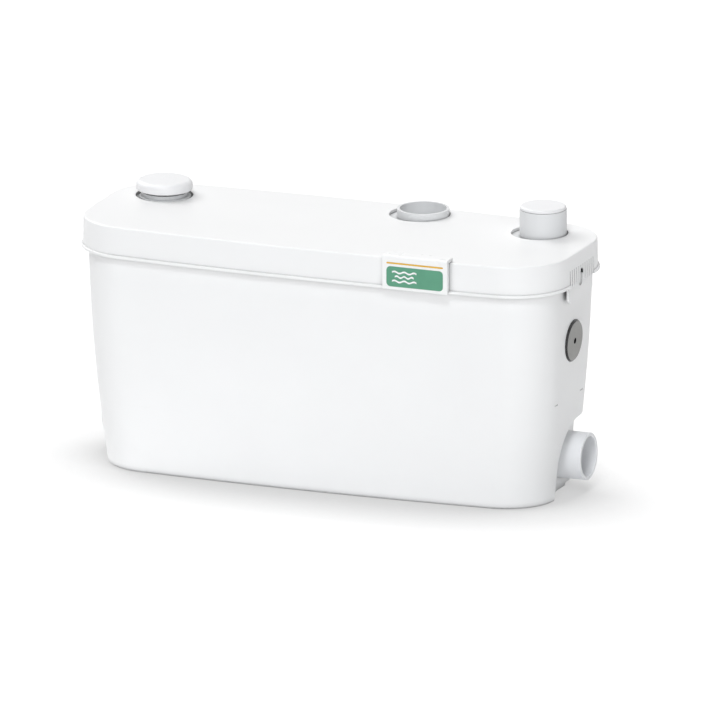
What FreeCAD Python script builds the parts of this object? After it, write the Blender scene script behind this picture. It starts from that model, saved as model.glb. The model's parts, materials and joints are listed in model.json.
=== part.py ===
"""Waste-water lifting unit for a basin or shower: a sealed tank with a pump hung under its deck.

Millimetres. +X runs to the right-hand end, -Y is the front, +Z is up. The origin is the middle of
the plan, on the floor that the tank stands on.
"""

import FreeCAD, Part
import math
import os

import Sketcher

Vector = FreeCAD.Vector
doc = FreeCAD.newDocument("LiftingUnit")
sheet = doc.addObject("Spreadsheet::Sheet", "Sizes")

# Driving dimensions, in millimetres unless a note says otherwise
SIZES = [
    ("lid_length", 512, "lid, end to end over its flat top"),
    ("lid_depth", 195.4, "lid, front to back over its flat top"),
    ("lid_top", 254.2, "height of the lid's flat top above the floor"),
    ("lid_skirt", 31.6, "height of the lid's side"),
    ("lid_wall", 2.5, "thickness of the lid's side"),
    ("lid_roof", 2.8, "thickness of the lid's top"),
    ("lid_draft", 0.5, "how much wider the skirt is at its foot"),
    ("lid_edge", 1.8, "rounding of the lid's top edge"),
    ("bead_reach", 2.5, "how far the bead stands out of the skirt"),
    ("bead_height", 3.2, "height of the bead"),
    ("bead_edge", 1.2, "rounding of the bead"),
    ("lid_corner", 58, "corner radius of the lid in plan"),
    ("side_bow", 3033, "radius of the bowed long sides in plan"),
    ("end_bow", 1489, "radius of the bowed ends in plan"),
    ("tank_end_step", 6.8, "tank's end stands this far inside the lid's"),
    ("tank_side_step", 5.0, "tank's side stands this far inside the lid's"),
    ("tank_corner", 47, "corner radius of the tank in plan, at its top"),
    ("corner_growth", 5, "how much larger that corner is at the foot"),
    ("end_taper", 13.4, "how far each end leans in from top to foot"),
    ("side_taper", 17.4, "how far each side leans in from top to foot"),
    ("straight_share", 0.2925, "share of the taper that is straight, no unit"),
    ("tank_wall", 3.5, "tank's wall"),
    ("foot_edge", 3, "rounding of the tank's bottom edge"),
    ("raised_strip", 2.6, "step up of the underside along the back"),
    ("raised_from", 42, "Y where that step starts"),
    ("rim_height", 8, "height of the tank's rim"),
    ("rim_inset", 8, "rim reaches this far inside the tank's outer wall"),
    ("seal_height", 2, "deck seal, as pressed"),
    ("deck_height", 4.5, "deck plate"),
    ("deck_depth", 9.7, "deck's top face below the lid's flat top"),
    ("rim_gap", 1.5, "gap between the lid's skirt and the rim"),
    ("clearance", 0.3, "gap between pieces that part from each other"),
    ("running_gap", 0.05, "gap round the shaft and the hinge pins"),
    ("vent_inset", 51.5, "vent axis from the lid's left end"),
    ("vent_back", 54.7, "vent axis from the lid's back"),
    ("vent_hole", 28.6, "radius of the lid's hole round the vent"),
    ("vent_collar", 25.6, "radius of the collar beside the vent neck, level with the lid"),
    ("collar_right", 1.6, "that collar's middle to the right of the vent axis"),
    ("collar_front", 2.2, "that collar's middle in front of the vent axis"),
    ("vent_neck", 22.9, "outer radius of the vent neck"),
    ("vent_bore", 20, "bore radius of the vent neck"),
    ("vent_rise", 3.6, "vent neck's top above the lid"),
    ("cap_radius", 27.9, "vent cap"),
    ("cap_side", 10.2, "height of the vent cap"),
    ("cap_edge", 5, "rounding of the vent cap"),
    ("cap_rim", 1.6, "rounding of its lower rim"),
    ("cap_dome", 0.8, "rise of the vent cap's top to its middle"),
    ("cap_lift", 2.2, "air gap under the vent cap"),
    ("filter_length", 26, "carbon filter in the vent neck"),
    ("outlet_x", 60.7, "outlet socket axis"),
    ("outlet_y", 68, "outlet socket axis"),
    ("outlet_neck", 26, "outer radius of the outlet socket"),
    ("outlet_bore", 23.2, "bore radius of the outlet socket"),
    ("outlet_rise", 6.6, "outlet socket's top above the lid"),
    ("outlet_hole", 30.5, "radius of the lid's hole round the outlet"),
    ("outlet_notch", 34, "width of the opening in the lid's rear edge behind the outlet"),
    ("inlet_inset", 59, "top inlet axis from the lid's right end"),
    ("inlet_back", 51.7, "top inlet axis from the lid's back"),
    ("inlet_hole", 28.5, "radius of the lid's hole round the top inlet"),
    ("hole_left", 4, "middle of both those holes to the left of their necks"),
    ("hole_back", 0.5, "middle of both those holes behind their necks"),
    ("shoulder_lap", 3, "raised deck round each neck reaches this far under the lid"),
    ("inlet_neck", 23.4, "outer radius of the top inlet"),
    ("inlet_bore", 20.6, "bore radius of the top inlet"),
    ("inlet_rise", 25.1, "top inlet's height above the lid"),
    ("plug_disc", 22.8, "radius of the top plug's disc"),
    ("plug_disc_height", 3.2, "height of the top plug's disc"),
    ("plug_length", 15, "how far the top plug goes in"),
    ("niche_inset", 34, "back of the side niche from the lid's end"),
    ("niche_front", -21, "Y of the niche's front edge"),
    ("niche_top", 76.5, "height of the niche"),
    ("base_top", 70, "level where the tank's base and its upper walls part"),
    ("niche_corner", 48, "radius of the niche's upper front corner"),
    ("niche_round", 12, "rounding of the tank's back corner in the niche"),
    ("spigot_y", 28, "side inlet axis"),
    ("spigot_z", 36, "side inlet axis"),
    ("spigot_radius", 23.7, "outer radius of the side inlet"),
    ("spigot_bore", 19.9, "bore radius of the side inlet"),
    ("spigot_inset", 3, "side inlet's rim from the lid's end"),
    ("spigot_root", 25.2, "radius of the side inlet's root in the tank's wall"),
    ("spigot_flange", 26.5, "radius of the flange inside the tank"),
    ("flap_pin", 28, "inlet flap's pin above the side inlet's axis"),
    ("flange_height", 4, "thickness of that flange"),
    ("side_plug_z", 161, "height of the round side plug"),
    ("side_plug_radius", 21, "face of the side plug"),
    ("side_plug_proud", 1.6, "how far the side plug stands out"),
    ("side_plug_sink", 1.1, "how far its seat lies inside the tank's end"),
    ("side_plug_lean", 3.4, "how far its seat leans back with the wall, in degrees"),
    ("plug_dimple", 3, "radius of the hole in the side plug's face"),
    ("side_plug_barrel", 17, "radius of the side plug's barrel"),
    ("side_plug_seat", 12, "length of the side plug's seat in the tank"),
    ("mark_z", 103, "height of the two level marks on the right-hand end"),
    ("mark_length", 7, "length of one level mark"),
    ("mark_height", 1.2, "height of one level mark"),
    ("mark_depth", 0.8, "how far a level mark is sunk"),
    ("mark_front", 36, "one level mark in front of the tank's middle"),
    ("mark_back", 30, "the other behind it"),
    ("badge_x", 119.5, "middle of the clip-on plate"),
    ("badge_width", 69, "width of the clip-on plate"),
    ("badge_reach", 4, "its face in front of the lid's middle"),
    ("badge_top", 3.8, "its top above the lid"),
    ("badge_back", 10.7, "its upper leg ends this far inside the lid's front"),
    ("badge_wall", 3.3, "thickness of its upper leg"),
    ("tab_low", 206, "bottom of the tongue on the lid's end"),
    ("tab_width", 62, "width of that tongue"),
    ("tab_y", 1, "middle of that tongue"),
    ("tab_wall", 2.7, "thickness of that tongue"),
    ("tab_inset", 1, "its face inside the lid's end"),
    ("slot_width", 11, "width of the finger slot in the lid's end"),
    ("slot_height", 18, "height of that slot"),
    ("slot_z", 227, "middle of that slot"),
    ("slot_hole", 3.4, "radius of the hole at the top of that slot"),
    ("slot_hole_rise", 4.6, "that hole above the slot's middle"),
    ("groove_count", 12, "finger grooves, no unit"),
    ("groove_pitch", 5.5, "spacing of the finger grooves"),
    ("groove_width", 1.5, "width of one finger groove"),
    ("groove_depth", 1.4, "depth of one finger groove"),
    ("groove_top", 14.5, "grooves end this far below the lid's top"),
    ("pump_x", -20, "pump and motor axis"),
    ("pump_y", 10, "pump and motor axis"),
    ("motor_radius", 52, "outer radius of the motor housing"),
    ("motor_wall", 3, "its wall"),
    ("motor_flange", 60, "its flange"),
    ("motor_low", 84, "its underside"),
    ("shaft_radius", 6, "pump shaft"),
    ("bearing_radius", 16, "both bearings, outside"),
    ("bearing_height", 10, "both bearings"),
    ("stator_bore", 26, "stator bore radius"),
    ("stator_low", 135, "foot of the stator stack"),
    ("stator_height", 60, "height of the stator stack"),
    ("air_gap", 0.5, "between rotor and stator"),
    ("winding_height", 18, "end turns above and below the stack"),
    ("impeller_radius", 36, "impeller"),
    ("chamber_height", 24, "pump chamber"),
    ("volute_start", 40, "radius of the volute at its tongue"),
    ("volute_step", 5, "growth of the volute in each quarter turn"),
    ("casing_wall", 3.5, "wall of the pump casing"),
    ("riser_bore", 10, "bore radius of the discharge pipe"),
    ("riser_wall", 3, "wall of the discharge pipe"),
    ("riser_x", 61.5, "discharge pipe axis"),
    ("strainer_slots", 26, "height of the strainer's slots"),
    ("elbow_stub", 26, "straight end of the elbow, for the hose"),
    ("elbow_radius", 24, "bend of the discharge elbow"),
    ("valve_y", 60, "check valve axis"),
    ("valve_radius", 21, "check valve body"),
    ("valve_height", 30, "check valve body"),
    ("dip_x", 125, "level tube axis"),
    ("dip_y", 0, "level tube axis"),
    ("dip_radius", 8, "level tube"),
    ("dip_low", 22, "mouth of the level tube"),
    ("box_x", -130, "middle of the control box"),
    ("box_length", 70, "control box along X"),
    ("box_width", 100, "control box along Y"),
    ("box_depth", 58, "control box below the deck"),
    ("box_wall", 2.5, "wall of the control box"),
    ("gland_x", -130, "cable gland axis"),
    ("gland_z", 200, "cable gland axis"),
    ("gland_radius", 8, "cable gland thread"),
    ("screw_head", 3.8, "radius of the deck screws' heads"),
    ("screw_shank", 1.9, "radius of the deck screws' shanks"),
]


def fill_sheet():
    """Writes the driving dimensions to the sheet, one row each."""
    for row, (alias, number, note) in enumerate(SIZES, start=1):
        sheet.set(f"A{row}", alias)
        sheet.set(f"B{row}", str(number))
        sheet.set(f"C{row}", note)
        sheet.setAlias(f"B{row}", alias)
    doc.recompute()


class Measure:
    """A length that knows its number and the sheet formula that gives it."""

    def __init__(self, number, formula):
        self.number = number
        self.formula = formula

    def joined(self, sign, other, number):
        return Measure(number, f"({self.formula} {sign} {other.formula})")

    def __add__(self, other):
        other = measure(other)
        return self.joined("+", other, self.number + other.number)

    def __sub__(self, other):
        other = measure(other)
        return self.joined("-", other, self.number - other.number)

    def __mul__(self, other):
        other = measure(other)
        return self.joined("*", other, self.number * other.number)

    def __truediv__(self, other):
        other = measure(other)
        return self.joined("/", other, self.number / other.number)

    def __radd__(self, other):
        return measure(other) + self

    def __rsub__(self, other):
        return measure(other) - self

    def __rmul__(self, other):
        return measure(other) * self

    def __neg__(self):
        return measure(0) - self


def measure(length):
    """A plain number as a Measure; a Measure as it is."""
    if isinstance(length, Measure):
        return length
    return Measure(float(length), f"({float(length)!r})")


class SheetReader:
    """Gives each driving dimension by its alias, as in size.lid_length."""

    def __getattr__(self, alias):
        return Measure(float(sheet.get(alias)), f"Sizes.{alias}")


fill_sheet()
size = SheetReader()

UPRIGHT = FreeCAD.Rotation()
TO_RIGHT = FreeCAD.Rotation(Vector(0, 1, 0), 90)
TO_LEFT = FreeCAD.Rotation(Vector(0, 1, 0), -90)
TO_BACK = FreeCAD.Rotation(Vector(1, 0, 0), -90)
SIDE_PLUG_WAY = FreeCAD.Rotation(Vector(0, 1, 0), 90 + size.side_plug_lean.number)
SIDES = ((1, "right"), (-1, "left"))
ORIGIN = -1
Z_UP = Vector(0, 0, 1)
pieces = []


# Small tools for sketches and features


def bind(thing, where, length):
    """Ties one property of an object to its formula."""
    thing.setExpression(where, measure(length).formula)


def hold(sketch, kind, *where, length):
    """Adds one dimension to a sketch and ties it to its formula."""
    length = measure(length)
    index = sketch.addConstraint(Sketcher.Constraint(kind, *where, length.number))
    sketch.setExpression(f"Constraints[{index}]", length.formula)


def place(thing, x=0, y=0, z=0, turn=UPRIGHT):
    """Puts an object at a bound place, turned by a fixed rotation."""
    thing.Placement = FreeCAD.Placement(Vector(), turn)
    for axis, length in (("x", x), ("y", y), ("z", z)):
        bind(thing, f"Placement.Base.{axis}", length)
    return thing


def arc(x, y, radius, start, end):
    return Part.ArcOfCircle(Part.Circle(Vector(x, y, 0), Z_UP, radius), start, end)


def circle(sketch, u, v, radius):
    """Draws a bound circle."""
    u, v, radius = measure(u), measure(v), measure(radius)
    centre = Vector(u.number, v.number, 0)
    ring = sketch.addGeometry(Part.Circle(centre, Z_UP, radius.number), False)
    hold(sketch, "DistanceX", ORIGIN, 1, ring, 3, length=u)
    hold(sketch, "DistanceY", ORIGIN, 1, ring, 3, length=v)
    hold(sketch, "Radius", ring, length=radius)


def same(first, second):
    return abs(first.number - second.number) < 1e-9


def outline(sketch, corners):
    """Draws a closed outline. A corner is (u, v) or (u, v, radius); only square ones are rounded."""
    corners = [tuple(measure(value) for value in corner) for corner in corners]
    count = len(corners)
    spots = [Vector(corner[0].number, corner[1].number, 0) for corner in corners]
    ways = [(spots[(k + 1) % count] - spots[k]).normalize() for k in range(count)]
    radii = [corner[2].number if len(corner) > 2 else 0.0 for corner in corners]
    lines = []
    for k in range(count):
        start = spots[k] + ways[k] * radii[k]
        end = spots[(k + 1) % count] - ways[k] * radii[(k + 1) % count]
        lines.append(sketch.addGeometry(Part.LineSegment(start, end), False))
    level = [same(corners[k][1], corners[(k + 1) % count][1]) for k in range(count)]
    upright = [same(corners[k][0], corners[(k + 1) % count][0]) for k in range(count)]
    for k in range(count):
        if level[k]:
            sketch.addConstraint(Sketcher.Constraint("Horizontal", lines[k]))
            hold(sketch, "DistanceY", ORIGIN, 1, lines[k], 1, length=corners[k][1])
        elif upright[k]:
            sketch.addConstraint(Sketcher.Constraint("Vertical", lines[k]))
            hold(sketch, "DistanceX", ORIGIN, 1, lines[k], 1, length=corners[k][0])
    for k in range(count):
        join_corner(sketch, corners[k], spots[k], ways[k - 1], ways[k], lines[k - 1], lines[k])
        if not (upright[k - 1] or upright[k]):
            hold(sketch, "DistanceX", ORIGIN, 1, lines[k], 1, length=corners[k][0])
        if not (level[k - 1] or level[k]):
            hold(sketch, "DistanceY", ORIGIN, 1, lines[k], 1, length=corners[k][1])


def join_corner(sketch, corner, spot, way_in, way_out, line_in, line_out):
    """Joins two lines at a sharp corner, or by an arc that touches both."""
    if len(corner) < 3 or corner[2].number == 0:
        sketch.addConstraint(Sketcher.Constraint("Coincident", line_in, 2, line_out, 1))
        return
    radius = corner[2].number
    centre = spot - way_in * radius + way_out * radius
    start, end = spot - way_in * radius - centre, spot + way_out * radius - centre
    turns_left = way_in.x * way_out.y - way_in.y * way_out.x > 0
    if not turns_left:
        start, end = end, start
    first = math.atan2(start.y, start.x)
    last = math.atan2(end.y, end.x)
    if last < first:
        last += 2 * math.pi
    bend = sketch.addGeometry(arc(centre.x, centre.y, radius, first, last), False)
    near, far = (1, 2) if turns_left else (2, 1)
    sketch.addConstraint(Sketcher.Constraint("Tangent", line_in, 2, bend, near))
    sketch.addConstraint(Sketcher.Constraint("Tangent", bend, far, line_out, 1))
    hold(sketch, "Radius", bend, length=corner[2])


def rectangle(sketch, low_u, low_v, high_u, high_v, radius=0):
    corners = [(low_u, low_v), (high_u, low_v), (high_u, high_v), (low_u, high_v)]
    outline(sketch, [corner + (radius,) for corner in corners])


def new_body(name, x=0, y=0, z=0, turn=UPRIGHT):
    body = doc.addObject("PartDesign::Body", name)
    body.Label = name
    return place(body, x, y, z, turn)


def body_sketch(body, name, role, base):
    """A sketch on one of the body's own planes, moved along the plane's normal by `base`."""
    planes = {item.Role: item for item in body.Origin.OriginFeatures}
    sketch = body.newObject("Sketcher::SketchObject", name)
    sketch.AttachmentSupport = (planes[role], [""])
    sketch.MapMode = "FlatFace"
    bind(sketch, "AttachmentOffset.Base.z", base)
    return sketch


def add(body, name, draw, base, height, role="XY_Plane", cut=False):
    """Pads what `draw` puts in a sketch, from `base` up by `height`, or cuts it away."""
    sketch = body_sketch(body, f"{name}_sketch", role, base)
    draw(sketch)
    feature = body.newObject("PartDesign::Pocket" if cut else "PartDesign::Pad", name)
    feature.Profile = sketch
    feature.Reversed = cut
    bind(feature, "Length", height)
    return feature


def cut(body, name, draw, base, height, role="XY_Plane"):
    return add(body, name, draw, base, height, role, cut=True)


def turned(name, corners, x=0, y=0, z=0, turn=UPRIGHT):
    """A body turned about its own Z: each corner is (radius, height) or (radius, height, edge)."""
    body = new_body(name, x, y, z, turn)
    sketch = body_sketch(body, f"{name}_profile", "XZ_Plane", 0)
    outline(sketch, corners)
    spin = body.newObject("PartDesign::Revolution", f"{name}_turn")
    spin.Profile = sketch
    spin.ReferenceAxis = (sketch, ["V_Axis"])
    spin.Angle = 360
    return body


def ring(name, inner, outer, low, high, x=0, y=0, z=0, turn=UPRIGHT):
    return turned(name, [(inner, low), (outer, low), (outer, high), (inner, high)], x, y, z, turn)


def around(body, feature, count):
    """Repeats one feature round the body's Z axis."""
    sketch = feature.Profile[0]
    pattern = body.newObject("PartDesign::PolarPattern", f"{feature.Name}_round")
    pattern.Originals = [feature]
    pattern.Axis = (sketch, ["N_Axis"])
    pattern.Angle = 360
    pattern.Occurrences = count
    body.Tip = pattern
    return pattern


def cylinder(name, radius, height, x=0, y=0, z=0, turn=UPRIGHT):
    solid = doc.addObject("Part::Cylinder", name)
    bind(solid, "Radius", radius)
    bind(solid, "Height", height)
    return place(solid, x, y, z, turn)


def block(name, low, high):
    """A box between two corners."""
    solid = doc.addObject("Part::Box", name)
    for prop, first, last in zip(("Length", "Width", "Height"), low, high):
        bind(solid, prop, measure(last) - first)
    return place(solid, *low)


def fuse(name, *shapes):
    joined = doc.addObject("Part::MultiFuse", name)
    joined.Shapes = list(shapes)
    return joined


def take(name, base, *tools):
    """What is left of `base` without the tools."""
    tool = tools[0] if len(tools) == 1 else fuse(f"{name}_tools", *tools)
    result = doc.addObject("Part::Cut", name)
    result.Base = base
    result.Tool = tool
    return result


def common(name, first, second):
    result = doc.addObject("Part::Common", name)
    result.Base = first
    result.Tool = second
    return result


def extrude(name, sketch, height):
    solid = doc.addObject("Part::Extrusion", name)
    solid.Base = sketch
    solid.DirMode = "Normal"
    solid.Solid = True
    bind(solid, "LengthFwd", height)
    return solid


def loft(name, sections, ruled=False):
    solid = doc.addObject("Part::Loft", name)
    solid.Sections = sections
    solid.Solid = True
    solid.Ruled = ruled
    return solid


def round_edges(name, base, radius, wanted):
    """Rounds the edges of `base` that `wanted` picks."""
    doc.recompute()
    picked = [k for k, edge in enumerate(base.Shape.Edges, start=1) if wanted(edge)]
    result = doc.addObject("Part::Fillet", name)
    result.Base = base
    result.Edges = [(k, radius.number, radius.number) for k in picked]
    return result


def edge_heights(edge):
    return [vertex.Z for vertex in edge.Vertexes]


def keep(piece, name=None):
    """Marks an object as one finished piece; its label names its file."""
    if name:
        piece.Label = name
    pieces.append(piece)
    return piece


# The plan outline that the lid and the tank share


def bowed_corner(half_length, half_depth, corner, side_bow, end_bow):
    """Centre of the corner arc that touches a bowed side and a bowed end from inside."""
    side_y, end_x = half_depth - side_bow, half_length - end_bow
    to_side, to_end = side_bow - corner, end_bow - corner
    apart = math.hypot(end_x, side_y)
    along = (to_side**2 - to_end**2 + apart**2) / (2 * apart)
    off = math.sqrt(to_side**2 - along**2)
    way_x, way_y = end_x / apart, -side_y / apart
    return way_x * along - way_y * -off, side_y + way_y * along + way_x * -off


def bowed_sketch(name, height, plan):
    """A rectangle with bowed sides and round corners. `plan` is (half length, half depth,
    corner, side bow, end bow)."""
    half_length, half_depth, corner, side_bow, end_bow = (measure(value) for value in plan)
    sketch = doc.addObject("Sketcher::SketchObject", name)
    place(sketch, z=height)
    numbers = [value.number for value in (half_length, half_depth, corner, side_bow, end_bow)]
    x, y = bowed_corner(*numbers)
    side_y, end_x = half_depth - side_bow, half_length - end_bow
    side = math.atan2(y - side_y.number, x)
    end = math.atan2(y, x - end_x.number)
    half_turn = math.pi
    arcs = [
        arc(end_x.number, 0, end_bow.number, -end, end),
        arc(x, y, corner.number, end, side),
        arc(0, side_y.number, side_bow.number, side, half_turn - side),
        arc(-x, y, corner.number, half_turn - side, half_turn - end),
        arc(-end_x.number, 0, end_bow.number, half_turn - end, half_turn + end),
        arc(-x, -y, corner.number, half_turn + end, half_turn + side),
        arc(0, -side_y.number, side_bow.number, half_turn + side, 2 * half_turn - side),
        arc(x, -y, corner.number, 2 * half_turn - side, 2 * half_turn - end),
    ]
    ids = [sketch.addGeometry(item, False) for item in arcs]
    for k, item in enumerate(ids):
        following = ids[(k + 1) % len(ids)]
        sketch.addConstraint(Sketcher.Constraint("Tangent", item, 2, following, 1))
    for k in (3, 5, 7):
        sketch.addConstraint(Sketcher.Constraint("Equal", ids[1], ids[k]))
    hold(sketch, "Radius", ids[1], length=corner)
    for k, centre in ((2, side_y), (6, -side_y)):
        hold(sketch, "Radius", ids[k], length=side_bow)
        sketch.addConstraint(Sketcher.Constraint("PointOnObject", ids[k], 3, -2))
        hold(sketch, "DistanceY", ORIGIN, 1, ids[k], 3, length=centre)
    for k, centre in ((0, end_x), (4, -end_x)):
        hold(sketch, "Radius", ids[k], length=end_bow)
        sketch.addConstraint(Sketcher.Constraint("PointOnObject", ids[k], 3, -1))
        hold(sketch, "DistanceX", ORIGIN, 1, ids[k], 3, length=centre)
    return sketch


# Levels and outlines that several pieces use

skirt_low = size.lid_top - size.lid_skirt
roof_low = size.lid_top - size.lid_roof
deck_top = size.lid_top - size.deck_depth
deck_low = deck_top - size.deck_height
tank_top = deck_low - size.seal_height
lid_end = size.lid_length / 2
lid_side = size.lid_depth / 2
floor_top = size.raised_strip + size.tank_wall
cut_past = 5
far_out = size.lid_length
vent_x = size.vent_inset - lid_end
vent_y = lid_side - size.vent_back
inlet_x = lid_end - size.inlet_inset
inlet_y = lid_side - size.inlet_back


def lid_plan(inset):
    """The lid's outline, moved inwards."""
    return (lid_end - inset, lid_side - inset, size.lid_corner - inset,
            size.side_bow - inset, size.end_bow - inset)


def lean(height):
    """Share of the taper at one height: 0 at the lid's foot, 1 at the floor."""
    depth = 1 - measure(height) / skirt_low
    return size.straight_share * depth + (1 - size.straight_share) * depth * depth


def tank_end(height):
    return lid_end - size.tank_end_step - size.end_taper * lean(height)


def tank_side(height):
    return lid_side - size.tank_side_step - size.side_taper * lean(height)


def tank_plan(height, inset=0):
    """The tank's outline at one height, moved inwards."""
    corner = size.tank_corner + size.corner_growth * lean(height)
    return (tank_end(height) - inset, tank_side(height) - inset, corner - inset,
            size.side_bow - inset, size.end_bow - inset)


def side_at(height, x, inset=0):
    """Y of the tank's long side at one place along it, with its bow."""
    x = measure(x)
    return tank_side(height) - x * x / (2 * size.side_bow) - inset


# The tank


def tank_block(name, low, inset, extra=0):
    """The tank's solid form from `low` up, with its wall curved in profile."""
    steps = 4
    sections = []
    for k in range(steps + 1):
        height = low + (skirt_low - low) * k / steps
        sections.append(bowed_sketch(f"{name}_section_{k}", height, tank_plan(height, inset)))
    wall = loft(f"{name}_wall", sections)
    collar_plan = bowed_sketch(f"{name}_collar_plan", skirt_low, tank_plan(skirt_low, inset))
    collar = extrude(f"{name}_collar", collar_plan, tank_top - skirt_low + extra)
    return wall, collar


def niche(name, side, grow):
    """The space cut out of one back lower corner for the side inlet; `side` is 1 or -1."""
    back = lid_end - size.niche_inset - grow
    radius = size.niche_round - grow
    front, top = size.niche_front - grow, size.niche_top + grow
    turn_x = back - radius
    body = new_body(f"{name}_arch")
    base = lid_end / 2 if side > 0 else -far_out

    def arch(sketch):
        outline(sketch, [(front, -cut_past), (far_out, -cut_past), (far_out, top),
                         (front, top, size.niche_corner + grow)])

    add(body, f"{name}_arch_pad", arch, base, far_out - lid_end / 2, role="YZ_Plane")
    plans = []
    for level, height in (("low", measure(-cut_past)), ("high", top)):
        wall_y = side_at(height, turn_x) - grow
        plan = doc.addObject("Sketcher::SketchObject", f"{name}_plan_{level}")
        place(plan, z=height)
        outline(plan, [(back * side, front - cut_past), (back * side, wall_y, radius),
                       ((turn_x - 1) * side, wall_y), ((turn_x - 1) * side, far_out),
                       (far_out * side, far_out), (far_out * side, front - cut_past)])
        plans.append(plan)
    return common(name, body, loft(f"{name}_prism", plans, ruled=True))


def make_tank():
    """One moulding, kept as two pieces that meet at one level: the base with both niches' walls,
    and the walls above it."""
    wall, collar = tank_block("tank_outer", measure(0), 0)
    rounded = round_edges("tank_foot", wall, size.foot_edge,
                          lambda edge: max(edge_heights(edge)) < 0.001)
    inner_wall, inner_collar = tank_block("tank_inner", floor_top, size.tank_wall, cut_past)
    niches = [niche("niche_right", 1, 0), niche("niche_left", -1, 0)]
    backs = [niche(f"niche_back_{word}", side, size.tank_wall) for side, word in SIDES]
    inside = take("tank_inside", fuse("tank_inside_form", inner_wall, inner_collar), *backs)
    strip = block("tank_strip", (-far_out, size.raised_from, -cut_past),
                  (far_out, far_out, size.raised_strip))
    outside = take("tank_outside", fuse("tank_outside_form", rounded, collar), *niches, strip)
    shell = take("tank_shell", outside, inside)
    rim = make_rim()
    plug_boss, plug_holes = side_plug_seat()
    gland_boss, gland_holes = gland_seat()
    solid = fuse("tank_solid", shell, rim, plug_boss, gland_boss)
    spigot_wall = lid_end - size.niche_inset
    spigot_holes = [
        cylinder("spigot_hole_right", size.spigot_root, 2 * cut_past, spigot_wall - 2 * cut_past,
                 size.spigot_y, size.spigot_z, TO_RIGHT),
        cylinder("spigot_hole_left", size.spigot_root, 2 * cut_past, 2 * cut_past - spigot_wall,
                 size.spigot_y, size.spigot_z, TO_LEFT),
    ]
    marks = [end_mark("mark_in_front", -size.mark_front), end_mark("mark_behind", size.mark_back)]
    pilot_depth = 7
    pilots = screw_holes("pilot_holes", deck_screw_spots(), tank_top - pilot_depth,
                         size.screw_shank + size.running_gap, pilot_depth + 3)
    moulding = take("tank_moulding", solid, *plug_holes, *gland_holes, *spigot_holes, *marks, pilots)
    base_room = block("tank_base_room", (-far_out, -far_out, -cut_past), (far_out, far_out, size.base_top))
    keep(take("tank", moulding, base_room))
    keep(common("tank_base", moulding, base_room))


def make_rim():
    """The flange that the deck is screwed to."""
    low = tank_top - size.rim_height
    outer_plan = bowed_sketch("rim_outer_plan", low, lid_plan(size.lid_wall + size.rim_gap))
    inner_plan = bowed_sketch("rim_inner_plan", low - 1, tank_plan(skirt_low, size.rim_inset))
    outer = extrude("rim_outer", outer_plan, size.rim_height)
    inner = extrude("rim_inner", inner_plan, size.rim_height + 2)
    return take("rim", outer, inner)


def deck_screw_spots():
    """Places of the deck screws, on a line just inside the tank's outer wall."""
    inset = 3
    spots = [(measure(x), side_at(skirt_low, x, inset) * way) for x in (-130, 0, 130) for way in (1, -1)]
    end = tank_end(skirt_low) - inset - 0.7
    spots += [(end * way, measure(y)) for way in (1, -1) for y in (-45, 45)]
    return spots


def screw_holes(name, spots, low, radius, height):
    body = new_body(name)

    def rings(sketch):
        for x, y in spots:
            circle(sketch, x, y, radius)

    add(body, f"{name}_pad", rings, low, height)
    return body


def screw_group(name, spots, seat, head, head_height, shank, shank_length):
    """Pan-head screws standing on one level, their shanks pointing down."""
    body = new_body(name)

    def heads(sketch):
        for x, y in spots:
            circle(sketch, x, y, head)

    def shanks(sketch):
        for x, y in spots:
            circle(sketch, x, y, shank)

    add(body, f"{name}_heads", heads, seat, head_height)
    add(body, f"{name}_shanks", shanks, seat - shank_length, shank_length)
    return keep(body)


def side_plug_spot(depth):
    """X, Y and Z of a point on the side plug's axis, so far inside the flat seat of its flange."""
    lean = math.radians(size.side_plug_lean.number)
    face = tank_end(size.side_plug_z) - size.side_plug_sink
    return face - depth * math.cos(lean), 0, size.side_plug_z + depth * math.sin(lean)


def side_plug_seat():
    """The round seat in the right-hand end, and what it cuts away."""
    past = 25
    boss = cylinder("plug_boss", size.side_plug_barrel + 3, size.side_plug_seat,
                    *side_plug_spot(size.side_plug_seat), SIDE_PLUG_WAY)
    flat = cylinder("plug_flat", size.side_plug_radius + size.clearance, past,
                    *side_plug_spot(measure(0)), SIDE_PLUG_WAY)
    bore = cylinder("plug_bore", size.side_plug_barrel + size.clearance, 2 * past,
                    *side_plug_spot(measure(past)), SIDE_PLUG_WAY)
    return boss, (flat, bore)


def gland_face():
    """Y of the flat seat under the cable gland's nut."""
    return side_at(size.gland_z, size.gland_x) + 0.5


def gland_seat():
    face = gland_face()
    x, z = size.gland_x, size.gland_z
    boss = cylinder("gland_boss", size.gland_radius + 6, 8, x, face - 8, z, TO_BACK)
    flat = cylinder("gland_flat", size.gland_radius + 6.5, 20, x, face, z, TO_BACK)
    bore = cylinder("gland_bore", size.gland_radius + size.running_gap, 40, x, face - 20, z, TO_BACK)
    return boss, (flat, bore)


def end_mark(name, y):
    """What a short sunk level mark on the right-hand end cuts away."""
    height = size.mark_z
    half, rise = size.mark_length / 2, size.mark_height / 2
    face = tank_end(height) - measure(y * y) / (2 * size.end_bow)
    return block(name, (face - size.mark_depth, y - half, height - rise),
                 (face + cut_past, y + half, height + rise))


# The deck, its seal and its screws


def lid_hole_spots():
    """Name, radius and middle of the lid's three round holes."""
    return (("vent", size.vent_hole, vent_x, vent_y),
            ("outlet", size.outlet_hole, size.outlet_x - size.hole_left, size.outlet_y + size.hole_back),
            ("inlet", size.inlet_hole, inlet_x - size.hole_left, inlet_y + size.hole_back))


def neck_shoulders(plan_sketch):
    """The deck stands up round each neck, to just under the lid."""
    height = roof_low - size.clearance - deck_low
    rounds = [cylinder(f"shoulder_{word}", radius + size.shoulder_lap, height, x, y, deck_low)
              for word, radius, x, y in lid_hole_spots()]
    clip = extrude("shoulder_clip", plan_sketch, height)
    return common("neck_shoulders", fuse("shoulder_rounds", *rounds), clip)


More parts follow.
